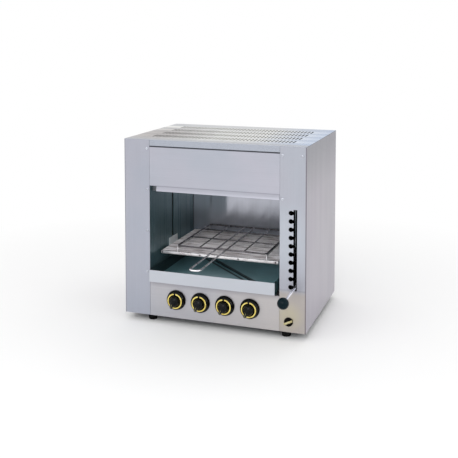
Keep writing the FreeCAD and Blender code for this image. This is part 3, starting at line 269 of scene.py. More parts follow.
sheets = {                               # a mark: kind, where, first, second, share and colour
    # hood panel: painted shade in the fold above the lip, painted shade on the lip, painted shadow in the
    # seam below the rail
    "frontSteel": {**sheetLook,
                   "marks": [("band", ("Z", lipLevel), mm, 2 * mm, 0.5, shade(120, 120, 132)),
                             ("slope", "Z", lipLevel, lipLevel - mm, 0.3, shade(160, 160, 170)),
                             ("band", ("Z", railLevel), 2.4 * mm, 3.6 * mm, 0.9, seamShadow)]},
    # left post: painted shade along its outer fold
    "leftPostSteel": {**sheetLook, "grain": "z", "colour": shade(170, 174, 186), "tint": shade(176, 177, 188),
                      "marks": [("band", ("X", -290 * mm), 1.2 * mm, 2.4 * mm, 0.8, shade(96, 96, 108))]},
    # right post: a painted sheen patch, painted warm reflections low down, a faint painted shade line at the
    # crease at the slot's lower end, painted shadow along the fold
    "postSteel": {**sheetLook, "grain": "z", "colour": shade(174, 178, 188), "tint": shade(178, 178, 188),
                  "marks": [("patch", (0.222, frontY, 0.30), 0.04, 0.12, 0.3, shade(200, 207, 214)),
                            ("slope", "Z", slotLevel + 4 * mm, slotLevel - 14 * mm, 0.65, paintedWarmReflection),
                            ("patch", (0.238, frontY, 0.07), 0.015, 0.05, 0.5, shade(200, 192, 160)),
                            ("band", ("Z", slotLevel), mm, 4 * mm, 0.25, shade(116, 124, 140)),
                            ("band", ("X", 290 * mm), 2.2 * mm, 4.4 * mm, 0.75, foldShadow)]},
    # control panel: painted warm reflection towards the right, painted shadow along the top under the tray's
    # front plate
    "controlSteel": {**sheetLook, "colour": shade(180, 181, 188), "tint": shade(190, 187, 190),
                     "marks": [("slope", "X", 0.0, 0.2, 0.5, shade(198, 192, 188)),
                               ("slope", "Z", 112 * mm, 128 * mm, 0.5, shade(140, 136, 146))]},
    # side panels: painted shade towards the top, a painted highlight along the front fold, painted shade on
    # the inner faces
    "sideSteel": {**sheetLook, "grain": "z", "colour": shade(182, 179, 186), "tint": shade(178, 173, 183),
                  "cloudScale": 3,
                  "marks": [("slope", "Z", 0.42, 0.55, 0.9, shade(150, 150, 157)),
                            ("band", ("Y", frontY), 2 * mm, 5 * mm, 0.5, shade(206, 206, 212)),
                            ("band", ("X", 0.0), 289.0 * mm, 289.3 * mm, 1.0, paintedInsideShade)]},
    "backSteel": {**sheetLook, "cloudScale": 3},
    # top cover: a painted pool of light in the middle, painted highlights over the vent rows, painted
    # reflections brownish at the left and bluish at the right, painted shade towards the front edge, black
    # painted shade in the slots and underneath
    "topSteel": {**sheetLook, "grain": "y", "colour": shade(178, 180, 183), "tint": shade(186, 188, 192),
                 "roughness": 0.3,
                 "marks": [("patch", (0.0, 0.04, 0.572), 0.08, 0.26, 0.4, shade(218, 218, 212)),
                           *[("band", ("Y", level * mm), 19 * mm, 23 * mm, 0.75, shade(252, 252, 246))
                             for level in ventRows],
                           ("patch", (-0.24, 0.0, 0.572), 0.06, 0.22, 0.85, shade(140, 132, 131)),
                           ("slope", "X", 0.1, 0.27, 0.7, shade(144, 168, 204)),
                           ("slope", "Y", frontY + 44 * mm, frontY + 20 * mm, 0.75, shade(146, 148, 156)),
                           ("slope", "Z", 571.9 * mm, 571.7 * mm, 1.0, shade(8, 8, 8)),
                           ("slope", "Z", 0.5705, 0.5695, 1.0, shade(174, 179, 190)),
                           ("slope", "Y", frontY + 2 * mm, frontY + mm, 1.0, shade(174, 179, 190))]},
    # cavity back wall: painted shade towards the top under the hood, towards the right end, and in a line at
    # the left corner
    "backWallSteel": {**sheetLook, "grain": "z", "colour": shade(206, 208, 219), "roughness": 0.12,
                      "tint": shade(192, 195, 206), "metallic": 0.62, "streak": 0.2, "grainShare": 0.06,
                      "smudge": 0.05, "relief": 0.1, "anisotropic": 0.95,
                      "marks": [("slope", "Z", 0.40, 0.43, 0.5, shade(90, 100, 106)),
                                ("slope", "X", 0.13, 0.17, 0.8, shade(50, 46, 44)),
                                ("band", ("X", -206 * mm), mm, 5 * mm, 0.8, shade(40, 54, 58))]},
    # cavity side walls: the dark teal colour is painted shade of the cavity; painted shade in the back
    # corner, towards the front and on the outer faces
    "sideWallSteel": {**sheetLook, "grain": "z", "colour": shade(106, 136, 144), "tint": shade(90, 118, 124),
                      "roughness": 0.3, "metallic": 0.5, "streak": 0.25,
                      "marks": [("band", ("Y", 224.5 * mm), mm, 4 * mm, 0.6, shade(40, 54, 58)),
                                ("slope", "Y", 0.04, -0.1, 0.7, shade(68, 92, 98)),
                                ("slope", "X", 210.4 * mm, 210.6 * mm, 1.0, paintedInsideShade)]},
    # drip tray: the teal colour is painted shade and reflection of the cavity; a painted reflection at the
    # front middle, painted shade to the left, painted shade along both edges of the groove, painted shadow on
    # the left inner wall
    "traySteel": {**sheetLook, "grain": "x", "colour": shade(124, 172, 182), "tint": shade(102, 148, 154),
                  "roughness": 0.36, "cloudScale": 7, "metallic": 0.3,
                  "marks": [("patch", (-0.02, -0.13, 0.135), 0.04, 0.18, 0.8, shade(182, 204, 212)),
                            ("slope", "X", -0.08, -0.18, 0.5, shade(70, 108, 114)),
                            *[("band", (groove["across"], edge), 4 * mm, 7.5 * mm, 0.9, shade(8, 14, 16))
                              for edge in groove["edges"]],
                            ("slope", "X", -198.4 * mm, -198.7 * mm, 0.9, shade(12, 18, 20)),
                            ("slope", "Y", frontY - 12 * mm, frontY - 13 * mm, 1.0, shade(188, 192, 200))]},
    "innerSteel": {**sheetLook, "colour": shade(120, 122, 126), "tint": shade(104, 108, 112)},
    # brackets: near white and not metallic, painted light on the steel
    "bracketSteel": {**sheetLook, "grain": "z", "colour": shade(250, 254, 255), "metallic": 0.0,
                     "tint": shade(220, 228, 234)},
}


def wireSteel(name, colour, dark, roughness, metallic=1.0, spread=(60, 60, 60), litFrontY=None, litColour=None):
    finish = Finish(name, Metallic=metallic)
    grime = finish.noise(1, 4, finish.stretched(spread))
    mixed = finish.blend(finish.ramp(grime, (0.45, 0), (0.7, 1)), colour, dark)
    if litFrontY is not None:                 # in front of this level the wire gets another colour: painted light
        mixed = finish.blend(finish.rise(finish.along("Y"), litFrontY, litFrontY - 30 * mm), mixed, litColour)
    finish.feed("Base Color", mixed)
    finish.feed("Roughness", roughness + (grime - 0.5) * 0.2)
    finish.bump(finish.noise(900, 2), 0.15, 0.1 * mm)
    return finish.material


def moulded(name, colour, dust, roughness, scale, gloss=0.25):
    finish = Finish(name, Specular_IOR_Level=gloss)
    film = finish.noise(14, 4)
    finish.feed("Base Color", finish.blend(finish.ramp(film, (0.4, 0), (0.8, 1)), colour, dust))
    finish.feed("Roughness", roughness + (film - 0.5) * 0.15)
    finish.bump(finish.noise(scale, 2), 0.2, 0.1 * mm)
    return finish.material


def castBrass(name, colour, dark, roughness=0.25):
    finish = Finish(name, Metallic=1.0)
    tarnish = finish.noise(80, 4)
    finish.feed("Base Color", finish.blend(finish.ramp(tarnish, (0.4, 0), (0.7, 1)), colour, dark))
    finish.feed("Roughness", roughness + tarnish * 0.2)
    finish.bump(finish.noise(600, 3), 0.1, 0.1 * mm)
    return finish.material


def firedCeramic():
    finish = Finish("firedCeramic")
    cells = finish.add("ShaderNodeTexVoronoi", {"feature": "F1"},
                       {"Vector": finish.place, "Scale": 450.0, "Randomness": 0.0})
    # the holes are coloured dark: painted shade in the perforations
    holes = finish.ramp(cells, (0.3, 0), (0.42, 1))
    soot = finish.noise(20, 4)
    clay = finish.blend(soot, shade(222, 208, 184), shade(196, 178, 150))
    finish.feed("Base Color", finish.blend(holes, shade(46, 38, 32), clay))
    finish.feed("Roughness", 0.85 + soot * 0.1)
    finish.bump(holes, 0.8, 0.6 * mm)
    return finish.material


rackLitFrontY = -75 * mm                    # the rack's wire gets painted light in front of this
finishes = {name: brushedSheet(name, look) for name, look in sheets.items()}
finishes.update({
    # the rack wire's dark colour is painted shade, its pale front painted light
    "rackWire": wireSteel("rackWire", shade(112, 109, 113), shade(70, 66, 70), 0.28, 0.9,
                          litFrontY=rackLitFrontY, litColour=shade(238, 236, 240)),
    "brightWire": wireSteel("brightWire", shade(238, 236, 238), shade(196, 190, 192), 0.25, 0.5),
    # the cloth is white and not metallic: painted light on the steel cloth
    "clothWire": wireSteel("clothWire", shade(255, 250, 253), shade(150, 136, 138), 0.45, 0.0,
                           spread=(16, 110, 16)),
    "chromeRod": wireSteel("chromeRod", shade(240, 240, 248), shade(206, 208, 218), 0.12, 0.9),
    "screwSteel": wireSteel("screwSteel", shade(200, 204, 212), shade(168, 170, 178), 0.25, 0.8),
    "plainSteel": wireSteel("plainSteel", shade(150, 150, 152), shade(104, 102, 100), 0.35),
    "sootySteel": wireSteel("sootySteel", shade(70, 66, 64), shade(40, 38, 37), 0.5, 0.6),
    "gasTube": wireSteel("gasTube", shade(200, 202, 206), shade(160, 158, 156), 0.3),
    "blackPlastic": moulded("blackPlastic", shade(6, 4, 5), shade(12, 10, 10), 0.25, 1200, 0.08),
    "knobPlastic": moulded("knobPlastic", shade(4, 6, 7), shade(8, 12, 13), 0.12, 1500, 0.18),
    "markPaint": moulded("markPaint", shade(150, 146, 96), shade(110, 106, 70), 0.5, 900),
    "ballPlastic": moulded("ballPlastic", shade(3, 24, 30), shade(5, 31, 37), 0.18, 900, 0.1),
    "footRubber": moulded("footRubber", shade(10, 10, 10), shade(26, 26, 26), 0.5, 700, 0.15),
    "goldRing": castBrass("goldRing", shade(248, 230, 136), shade(218, 190, 92), 0.14),
    "brass": castBrass("brass", shade(206, 178, 112), shade(150, 120, 62)),
    "paleBrass": castBrass("paleBrass", shade(230, 222, 178), shade(170, 158, 108)),
    "ceramic": firedCeramic(),
})
print("finishes made:", len(finishes))


# Helpers that turn shapes into pieces


def makePiece(name, mesh, finish, node, smooth=35):   # a piece that stands for a node
    mesh.name = name
    mesh.materials.clear()
    mesh.materials.append(finishes[finish])
    if smooth:
        mesh.shade_smooth()
        mesh.set_sharp_from_angle(angle=math.radians(smooth))
    piece = bpy.data.objects.new(name, mesh)
    bpy.context.scene.collection.objects.link(piece)
    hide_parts(node)
    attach(piece, bodyOf[node])
    return piece


def meshFrom(shape):
    mesh = bpy.data.meshes.new("shape")
    shape.to_mesh(mesh)
    shape.free()
    return mesh


def shapeFrom(*meshes):                 # one bmesh with all these meshes in it
    shape = bmesh.new()
    for mesh in meshes:
        shape.from_mesh(mesh)
    return shape


def moved(mesh, matrix):
    mesh.transform(matrix)
    return mesh


def evaluated(mesh, *modifiers):        # the mesh after these modifiers
    holder = bpy.data.objects.new("holder", mesh)
    bpy.context.scene.collection.objects.link(holder)
    for kind, settings in modifiers:
        modifier = holder.modifiers.new(kind.lower(), kind)
        for name, value in settings.items():
            setattr(modifier, name, value)
    seen = holder.evaluated_get(bpy.context.evaluated_depsgraph_get())
    result = bpy.data.meshes.new_from_object(seen)
    bpy.data.objects.remove(holder)
    return result


def carved(mesh, tool, operation):      # the mesh joined with the tool, or cut by it
    knife = bpy.data.objects.new("knife", tool)
    bpy.context.scene.collection.objects.link(knife)
    result = evaluated(mesh, ("BOOLEAN", {"operation": operation, "solver": "EXACT", "object": knife}))
    bpy.data.objects.remove(knife)
    return result


# (radius, height) pairs turned about Z, from axis to axis or right round
def lathe(profile, sides=48, ring=False, unit=mm):
    shape = bmesh.new()
    rings = []
    for radius, height in profile:
        rings.append([shape.verts.new((radius * unit * math.cos(2 * math.pi * i / sides),
                                       radius * unit * math.sin(2 * math.pi * i / sides), height * unit))
                      for i in range(sides if radius else 1)])
    pairs = list(zip(rings, rings[1:])) + ([(rings[-1], rings[0])] if ring else [])
    for low, high in pairs:
        for i in range(sides):
            j = (i + 1) % sides
            corners = [low[i % len(low)], high[i % len(high)], high[j % len(high)], low[j % len(low)]]
            shape.faces.new(list(dict.fromkeys(corners)))
    bmesh.ops.recalc_face_normals(shape, faces=shape.faces)
    return meshFrom(shape)


def arc(middle, radius, start, end, steps):   # (radius, height) pairs along an arc, in degrees
    return [(middle[0] + radius * math.cos(math.radians(start + (end - start) * i / steps)),
             middle[1] + radius * math.sin(math.radians(start + (end - start) * i / steps)))
            for i in range(steps + 1)]


def rounded(points, radius, steps=6, closed=False):   # a path with its corners made arcs
    count = len(points)
    path = [] if closed else [points[0]]
    for i in range(0 if closed else 1, count if closed else count - 1):
        before, corner, after = points[i - 1], points[i], points[(i + 1) % count]
        back, ahead = (before - corner).normalized(), (after - corner).normalized()
        half = back.angle(ahead) / 2
        reach = radius / math.tan(half)
        centre = corner + (back + ahead).normalized() * (radius / math.sin(half))
        start = (corner + back * reach - centre).normalized()
        end = (corner + ahead * reach - centre).normalized()
        path += [centre + start.slerp(end, k / steps) * radius for k in range(steps + 1)]
    return path + ([] if closed else [points[-1]])


def skin(shape, rings, closed=False):    # faces from each ring of vertices to the next
    for low, high in list(zip(rings, rings[1:])) + [(rings[-1], rings[0])] * closed:
        for i in range(len(low)):
            j = (i + 1) % len(low)
            shape.faces.new((low[i], low[j], high[j], high[i]))


def loft(sections):                     # a closed shape through sections, each a list of points
    shape = bmesh.new()
    rings = [[shape.verts.new(spot) for spot in section] for section in sections]
    skin(shape, rings)
    shape.faces.new(rings[0])
    shape.faces.new(rings[-1])
    bmesh.ops.recalc_face_normals(shape, faces=shape.faces)
    return shape


domeAngles = (0.3, 0.75, 1.15, math.pi / 2)   # radians from the tip of a bar's end to its side


def barMesh(path, radius, sides=12, closed=False):   # a round bar along a path, with domed ends
    shape = bmesh.new()
    count = len(path)
    rings = []
    side = None
    for i, point in enumerate(path):
        before = path[i - 1] if i or closed else point
        after = path[(i + 1) % count] if i < count - 1 or closed else point
        ahead = (after - before).normalized()
        if side is None:
            side = ahead.orthogonal().normalized()
        side = (side - ahead * side.dot(ahead)).normalized()
        across = ahead.cross(side)
        inward = 0 if closed or 0 < i < count - 1 else (1 if i == 0 else -1)
        for angle in domeAngles[::inward] if inward else domeAngles[-1:]:
            centre = point + ahead * inward * radius * (1 - math.cos(angle))
            size = radius * math.sin(angle)
            rings.append([shape.verts.new(centre + side * size * math.cos(2 * math.pi * k / sides)
                                          + across * size * math.sin(2 * math.pi * k / sides))
                          for k in range(sides)])
    skin(shape, rings, closed)
    if not closed:
        shape.faces.new(rings[0][::-1])
        shape.faces.new(rings[-1])
    bmesh.ops.recalc_face_normals(shape, faces=shape.faces)
    return meshFrom(shape)


def point(x, y, z):                     # a point given in mm
    return Vector((x, y, z)) * mm


def blockMesh(low, high, edge=0.0, segments=2):   # a block with its edges rounded
    shape = bmesh.new()
    bmesh.ops.create_cube(shape, size=1)
    size = high - low
    for vertex in shape.verts:
        vertex.co = (low + high) / 2 + Vector([c * s for c, s in zip(vertex.co, size)])
    if edge:
        bmesh.ops.bevel(shape, geom=shape.edges, offset=edge, segments=segments, profile=0.5,
                        affect="EDGES")
    return meshFrom(shape)


def islands(node):                      # the lowest and highest corner of each solid in a node
    shape = shapeFrom(nodes[node].data)
    bmesh.ops.remove_doubles(shape, verts=shape.verts, dist=1e-6)
    left, boxes = set(shape.verts), []
    while left:
        group, edge = set(), [left.pop()]
        while edge:
            vertex = edge.pop()
            group.add(vertex)
            fresh = {e.other_vert(vertex) for e in vertex.link_edges} & left
            left -= fresh
            edge += fresh
        boxes.append([Vector([pick(v.co[i] for v in group) for i in range(3)]) for pick in (min, max)])
    shape.free()
    return sorted(boxes, key=lambda box: [round(value, 4) for value in box[0]])


def softened(node, finish, width, angle=30, chosen=None):   # a folded sheet with its bends rounded
    shape = shapeFrom(nodes[node].data)
    bmesh.ops.remove_doubles(shape, verts=shape.verts, dist=1e-6)
    bmesh.ops.dissolve_limit(shape, angle_limit=math.radians(0.3), verts=shape.verts, edges=shape.edges)
    weight = shape.edges.layers.float.new("bevel_weight_edge")
    for edge in shape.edges:
        middle = (edge.verts[0].co + edge.verts[1].co) / 2
        sharp = len(edge.link_faces) == 2 and edge.calc_face_angle() > math.radians(angle)
        edge[weight] = 1.0 if sharp and (chosen is None or chosen(middle)) else 0.0
    mesh = meshFrom(shape)
    mesh.shade_smooth()
    mesh = evaluated(mesh, ("BEVEL", {"width": width * mm, "segments": 2, "limit_method": "WEIGHT",
                                      "use_clamp_overlap": True}))
    mesh.set_sharp_from_angle(angle=math.radians(50))
    mesh = evaluated(mesh, ("WEIGHTED_NORMAL", {"mode": "FACE_AREA", "weight": 100, "keep_sharp": True}))
    return makePiece(node + "Sheet", mesh, finish, node, smooth=0)


def dress(finish, *names, smooth=30):   # nodes that keep the frame's shape
    for name in names:
        mesh = nodes[name].data
        mesh.materials.clear()
        mesh.materials.append(finishes[finish])
        mesh.shade_smooth()
        mesh.set_sharp_from_angle(angle=math.radians(smooth))


# Copies of one shape on chosen spots

copies = Layout("copies", shape="object", scale="float")
turned = copies.add("GeometryNodeInputNamedAttribute", {"data_type": "FLOAT_VECTOR"}, {"Name": "turn"})
copyShape = copies.add("GeometryNodeObjectInfo", {"transform_space": "ORIGINAL"},
                       {"Object": copies.given("shape")}, "Geometry")
copies.close(copies.add("GeometryNodeInstanceOnPoints", {}, {
    "Points": copies.given("spots"), "Instance": copyShape,
    "Rotation": copies.add("FunctionNodeEulerToRotation", {}, {0: turned}),
    "Scale": copies.add("ShaderNodeCombineXYZ", {}, {0: copies.given("scale"), 1: copies.given("scale"),
                                                     2: copies.given("scale")})}))

faceFront = (math.pi / 2, 0, 0)          # a shape's Z turned to the front


def repeated(name, template, spots, finish, node, turns=None, smooth=35, scale=1.0):
    points = bpy.data.meshes.new("spots")
    points.from_pydata([tuple(spot) for spot in spots], [], [])
    attribute = points.attributes.new("turn", "FLOAT_VECTOR", "POINT")
    for item, turn in zip(attribute.data, turns or [(0, 0, 0)] * len(spots)):
        item.vector = turn
    holder = bpy.data.objects.new("template", template)
    mesh = copies.grow(points, shape=holder, scale=scale, finish=finishes[finish])
    bpy.data.objects.remove(holder)
    return makePiece(name, mesh, finish, node, smooth)


# Casing sheets

casing = {
    "bend": 0.45,                       # mm, the radius of a fold
    "cornerReach": 0.288,               # m, beyond it are the top cover's folds, within it its vent slots
    "finishes": {
        "left_front_post": "leftPostSteel", "right_front_post": "postSteel", "hood_panel": "frontSteel",
        "control_panel": "controlSteel", "left_side_panel": "sideSteel",
        "right_side_panel": "sideSteel", "back_panel": "backSteel", "base_pan": "innerSteel",
        "cavity_left_wall": "sideWallSteel", "cavity_right_wall": "sideWallSteel",
        "cavity_back_wall": "backWallSteel", "burner_deck": "innerSteel", "lower_deck": "innerSteel",
        "tray_runners": "innerSteel", "drip_tray": "traySteel", "carrier_brackets": "bracketSteel",
    },
}
for name, finish in casing["finishes"].items():
    softened(name, finish, casing["bend"])
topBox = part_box("top_cover")
softened("top_cover", "topSteel", casing["bend"],
         chosen=lambda spot: abs(spot.x) > casing["cornerReach"] or spot.y < topBox[0].y + 2 * mm
         or spot.y > topBox[1].y - 2 * mm)
print("sheets folded:", len(casing["finishes"]) + 1)


# Screws, bezels, feet and other turned parts

screw = {
    "height": 2.2, "shaft": ((0, -9.0), (2.0, -8.0), (2.0, 0), (4.0, 0), (4.0, 0.3)),
    "edge": ((3.3, 1.22), 0.7, 0, 70, 4), "crown": ((1.8, 2.15), (0, 2.2)),   # an edge is an arc
    "slot": 1.0, "slotLength": 4.4, "slotDepth": 1.3, "twist": 0.9,   # radians from screw to screw
}


def screwMesh():
    mesh = lathe([*screw["shaft"], *arc(*screw["edge"]), *screw["crown"]], 24)
    reach, half, height = screw["slotLength"] / 2, screw["slot"] / 2, screw["height"]
    for wide, thin in ((reach, half), (half, reach)):
        bit = blockMesh(point(-wide, -thin, height - screw["slotDepth"]), point(wide, thin, height + 1))
        mesh = carved(mesh, bit, "DIFFERENCE")
    return mesh


screwBoxes = islands("panel_screws")
screwSpots, screwTurns = [], []
for i, (low, high) in enumerate(screwBoxes):
    atFront = low.y < 0
    middle = (low + high) / 2
    seat = low.y + screw["height"] * mm if atFront else high.y - screw["height"] * mm
    screwSpots.append((middle.x, seat, middle.z))
    facing = Matrix.Rotation(math.pi / 2 if atFront else -math.pi / 2, 3, "X")
    screwTurns.append(tuple((Matrix.Rotation(screw["twist"] * i, 3, "Y") @ facing).to_euler()))
repeated("panelScrews", screwMesh(), screwSpots, "screwSteel", "panel_screws", screwTurns)


def plateMesh(plate):                   # a round plate with a hole and a rounded edge
    radius, edge, thickness = plate["radius"], plate["edge"], plate["thickness"]
    outside = arc((radius - edge, thickness - edge), edge, 0, 90, plate["edgeSteps"])
    return lathe([(plate["hole"], 0), (radius, 0), *outside, *plate["face"]], plate["sides"], ring=True)


def backSpot(low, high):                # the middle of a box's back
    return ((low.x + high.x) / 2, high.y, (low.z + high.z) / 2)


bezel = {"radius": 30.5, "hole": 8.0, "thickness": 2.5, "edge": 1.1, "edgeSteps": 5, "sides": 64,
         "face": ((14.0, 2.5), (8.0, 1.9))}
bezelSpots = [backSpot(low, high) for low, high in islands("knob_bezels")
              if high.x - low.x > (2 * bezel["radius"] - 1) * mm]
repeated("knobBezels", plateMesh(bezel), bezelSpots, "blackPlastic", "knob_bezels",
         [faceFront] * len(bezelSpots))

pilot = {"radius": 13.5, "hole": 3.1, "thickness": 3.0, "edge": 1.4, "edgeSteps": 4, "sides": 48,
         "face": ((10.5, 3.0), (9.9, 2.4), (3.1, 2.4)), "bar": (27, 6, 7), "barEdge": 1.3,
         "stem": 3.0, "stemLength": 37.0, "turn": 25.0,
         "cap": ((0, -1.45), (2.6, -1.45), (2.6, -0.45), (2.2, -0.05), (0, 0))}   # the stem's end
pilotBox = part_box("pilot_lever")
pilotSpot = (pilotBox[0] + pilotBox[1]) / 2
repeated("pilotPlate", plateMesh(pilot), [(pilotSpot.x, frontY, pilotSpot.z)], "blackPlastic",
         "knob_bezels", [faceFront])


def pilotLeverMesh():
    length, width, height = pilot["bar"]
    bar = blockMesh(point(-length / 2, -width / 2, -height), point(length / 2, width / 2, 0),
                    pilot["barEdge"] * mm, 3)
    stem = barMesh([point(0, 0, -1 - pilot["stemLength"]), point(0, 0, -1)], pilot["stem"] * mm, 24)
    return carved(carved(bar, stem, "UNION"), lathe(pilot["cap"], 24), "UNION")


pilotPlace = (Matrix.Translation((pilotSpot.x, pilotBox[0].y, pilotSpot.z))
              @ Matrix.Rotation(-math.radians(pilot["turn"]), 4, "Y") @ Matrix.Rotation(math.pi / 2, 4, "X"))
makePiece("pilotLever", moved(pilotLeverMesh(), pilotPlace), "paleBrass", "pilot_lever")

foot = {
    "top": 16.0, "bottom": 13.0, "height": 22.0, "sole": ((0, 0), (11.5, 0), (13.0, 1.2)),
    "ridgeLevels": (3.0, 7.25, 11.5, 15.75),
    "ridge": ((0, 0), (0.4, 0.5), (0.4, 2.85), (-0.9, 3.45), (-0.9, 3.95)),   # out and up from a level
    "rim": ((15.4, 20.4), (15.8, 21.1), (14.8, 22.0), (0, 22.0)),
    "stud": ((0, 0), (4.0, 0), (4.0, 9.0), (3.0, 10.0), (0, 10.0)),
}


def footMesh():
    profile = [*foot["sole"]]
    for level in foot["ridgeLevels"]:
        size = foot["bottom"] + (foot["top"] - foot["bottom"]) * level / foot["height"]
        profile += [(size + out, level + up) for out, up in foot["ridge"]]
    return lathe([*profile, *foot["rim"]])


footBoxes = islands("feet")
footSpots = [((low.x + high.x) / 2, (low.y + high.y) / 2, 0) for low, high in footBoxes]
repeated("rubberFeet", footMesh(), footSpots, "footRubber", "feet", smooth=50)
repeated("footStuds", lathe(foot["stud"], 24), [(x, y, foot["height"] * mm) for x, y, z in footSpots],
         "screwSteel", "feet")
print("turned parts placed:", len(screwBoxes), "screws,", len(footBoxes), "feet")


# Control knobs

knob = {
    "dial": ((0, 0), (27.8, 0), (29.0, 1.0), (29.0, 1.8), (28.1, 3.0), (25.0, 7.0), (24.3, 7.75),
             (23.7, 8.0), (18.9, 8.0), (18.5, 6.4), (17.5, 6.0), (17.0, 6.5), (16.6, 10.0), (15.5, 13.0)),
    "domeEdge": ((8.5, 12.8), 6.2, 15, 80, 7), "domeTop": ((5.0, 18.95), (0, 19.0)),
    "ring": ((19.4, 7.6), (23.7, 7.6), (23.7, 8.4), (23.2, 8.9), (19.9, 8.9), (19.4, 8.4)),
    "ringGap": 16.0, "ringSteps": 72, "turn": 28.0,
    # the pointer's sections: reach, half width and height
    "grip": ((-16.0, 4.2, 15.0), (-13.0, 5.6, 19.6), (-6.0, 6.4, 22.8), (2.0, 6.5, 24.0),
             (10.0, 6.3, 22.6), (17.0, 5.6, 19.2), (23.0, 4.6, 15.2), (27.0, 3.2, 12.4)),
    "gripFoot": 4.0, "gripEdge": 1.0,
    "gripCrown": ((0.94, 3.2), (0.82, 1.3), (0.55, 0.3), (0, 0)),   # share of half width, mm below the top
    "mark": (7.0, 25.5), "markSteps": 12,
    "markSection": ((0.8, -0.5), (0.64, 0.16), (-0.64, 0.16), (-0.8, -0.5)),
}


def dialMesh():
    return lathe([*knob["dial"], *arc(*knob["domeEdge"]), *knob["domeTop"]], 72)


def gripMesh():                         # the pointer, drawn along Y with its tip at -Y
    sections = []
    for reach, half, height in knob["grip"]:
        flank = [(half, knob["gripFoot"])]
        flank += [(half * share, height - drop) for share, drop in knob["gripCrown"]]
        outline = flank + [(-x, z) for x, z in reversed(flank[:-1])]
        sections.append([point(x, -reach, z) for x, z in outline])
    shape = loft(sections)
    endLevels = {sections[0][0].y, sections[-1][0].y}
    ends = [edge for edge in shape.edges if all(vertex.co.y in endLevels for vertex in edge.verts)]
    bmesh.ops.bevel(shape, geom=ends, offset=knob["gripEdge"] * mm, segments=3, profile=0.5, affect="EDGES")
    return meshFrom(shape)


def crestLevel(reach):                  # the height of the pointer's crest at this reach
    for (near, _, low), (far, _, high) in zip(knob["grip"], knob["grip"][1:]):
        if near <= reach <= far:
            return low + (high - low) * (reach - near) / (far - near)


def markMesh():                         # a thin line along the pointer's crest
    start, end = knob["mark"]
    steps = knob["markSteps"]
    reaches = [start + (end - start) * i / steps for i in range(steps + 1)]
    return meshFrom(loft([[point(x, -reach, crestLevel(reach) + z) for x, z in knob["markSection"]]
                          for reach in reaches]))


def ringMesh():                         # a flat ring with a gap at the top
    sections = []
    for i in range(knob["ringSteps"] + 1):
        angle = math.radians(90 + knob["ringGap"] / 2 + (360 - knob["ringGap"]) * i / knob["ringSteps"])
        sections.append([point(r * math.cos(angle), r * math.sin(angle), h) for r, h in knob["ring"]])
    return meshFrom(loft(sections))


for index in range(1, 5):
    node = f"knob_{index}"
    place = Matrix.Translation(backSpot(*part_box(node))) @ Matrix.Rotation(math.pi / 2, 4, "X")
    pointed = place @ Matrix.Rotation(-math.radians(knob["turn"]), 4, "Z")
    dial = carved(moved(dialMesh(), place), moved(gripMesh(), pointed), "UNION")
    makePiece(f"knobDial{index}", dial, "knobPlastic", node, smooth=40)
    makePiece(f"knobRing{index}", moved(ringMesh(), place), "goldRing", node)
    makePiece(f"knobMark{index}", moved(markMesh(), pointed), "markPaint", node)
print("knobs made")


# Lift lever and its ball

lever = {
    "radius": 3.5, "tilt": 15.572, "bend": 416.0, "lug": 97.6, "tail": 71.2, "lean": 10.52,
    "bendRadius": 18.0, "eye": 7.0, "pivot": (256.8, 256.5, 267.0),
    "eyeRing": ((3.05, -5.5), (3.55, -6.0), (6.2, -6.0), (7.0, -5.2), (7.0, 5.2), (6.2, 6.0),
                (3.55, 6.0), (3.05, 5.5)),
    "ball": 17.0, "ballCut": 0.93,      # the share of its radius at which the collar cuts it
    "collar": ((0, -14.0), (3.6, -14.0), (3.6, -17.0), (5.4, -17.0), (6.0, -16.4)),
}


def leverPoint(along, side=0.0):        # mm along the lever from the shaft, and to the left
    tilt = math.radians(lever["tilt"])
    x, y, z = lever["pivot"]
    return point(x - side, y - along * math.cos(tilt), z - along * math.sin(tilt))


lean = math.radians(lever["lean"])
bendAt, tail = lever["bend"], lever["tail"]
leverPath = rounded([leverPoint(lever["lug"] + lever["eye"] - 1), leverPoint(bendAt),
                     leverPoint(bendAt + tail * math.cos(lean), tail * math.sin(lean))],
                    lever["bendRadius"] * mm, 8)
eyePlace = Matrix.Translation(leverPoint(lever["lug"])) @ Matrix.Rotation(math.radians(lever["tilt"]), 4, "X")
eyeMesh = moved(lathe(lever["eyeRing"], 32, ring=True), eyePlace)
rodMesh = meshFrom(shapeFrom(barMesh(leverPath, lever["radius"] * mm, 24), eyeMesh))
makePiece("leverRod", rodMesh, "chromeRod", "lever_rod")

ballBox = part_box("lever_ball")
ballTurn = (leverPath[-1] - leverPath[-2]).normalized().to_track_quat("Z", "Y").to_matrix().to_4x4()
ballPlace = Matrix.Translation((ballBox[0] + ballBox[1]) / 2) @ ballTurn
ballArc = arc((0, 0), lever["ball"], math.degrees(math.asin(-lever["ballCut"])), 90, 32)[:-1]
makePiece("leverBall", moved(lathe([*lever["collar"], *ballArc, (0, lever["ball"])], 64), ballPlace),
          "ballPlastic", "lever_ball", smooth=60)
print("lever made")


# Rack and carrier, bent from wire

rack = {
    "frame": 2.4, "corner": 9.0, "inner": 2.0, "quarter": 72.75, "cross": (114.0, 223.0), "handle": 2.4,
    "handleHalf": 16.0, "handleTip": 13.0, "mid": 5.0, "half": 145.5, "front": -71.5, "backInset": 2.5,
    "bead": 2.6, "beadShape": ((0, -1.0), (0.72, -0.7), (1.0, 0), (0.72, 0.7), (0, 1.0)),
}
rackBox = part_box("rack_frame")
rackZ = (rackBox[0].z + rackBox[1].z) / 2 / mm
rackFront, rackBack = rack["front"], rackBox[1].y / mm - rack["backInset"]
rackLeft, rackRight = rack["mid"] - rack["half"], rack["mid"] + rack["half"]


def flatPath(*spots):                   # a path at the rack's level
    return [point(x, y, rackZ) for x, y in spots]


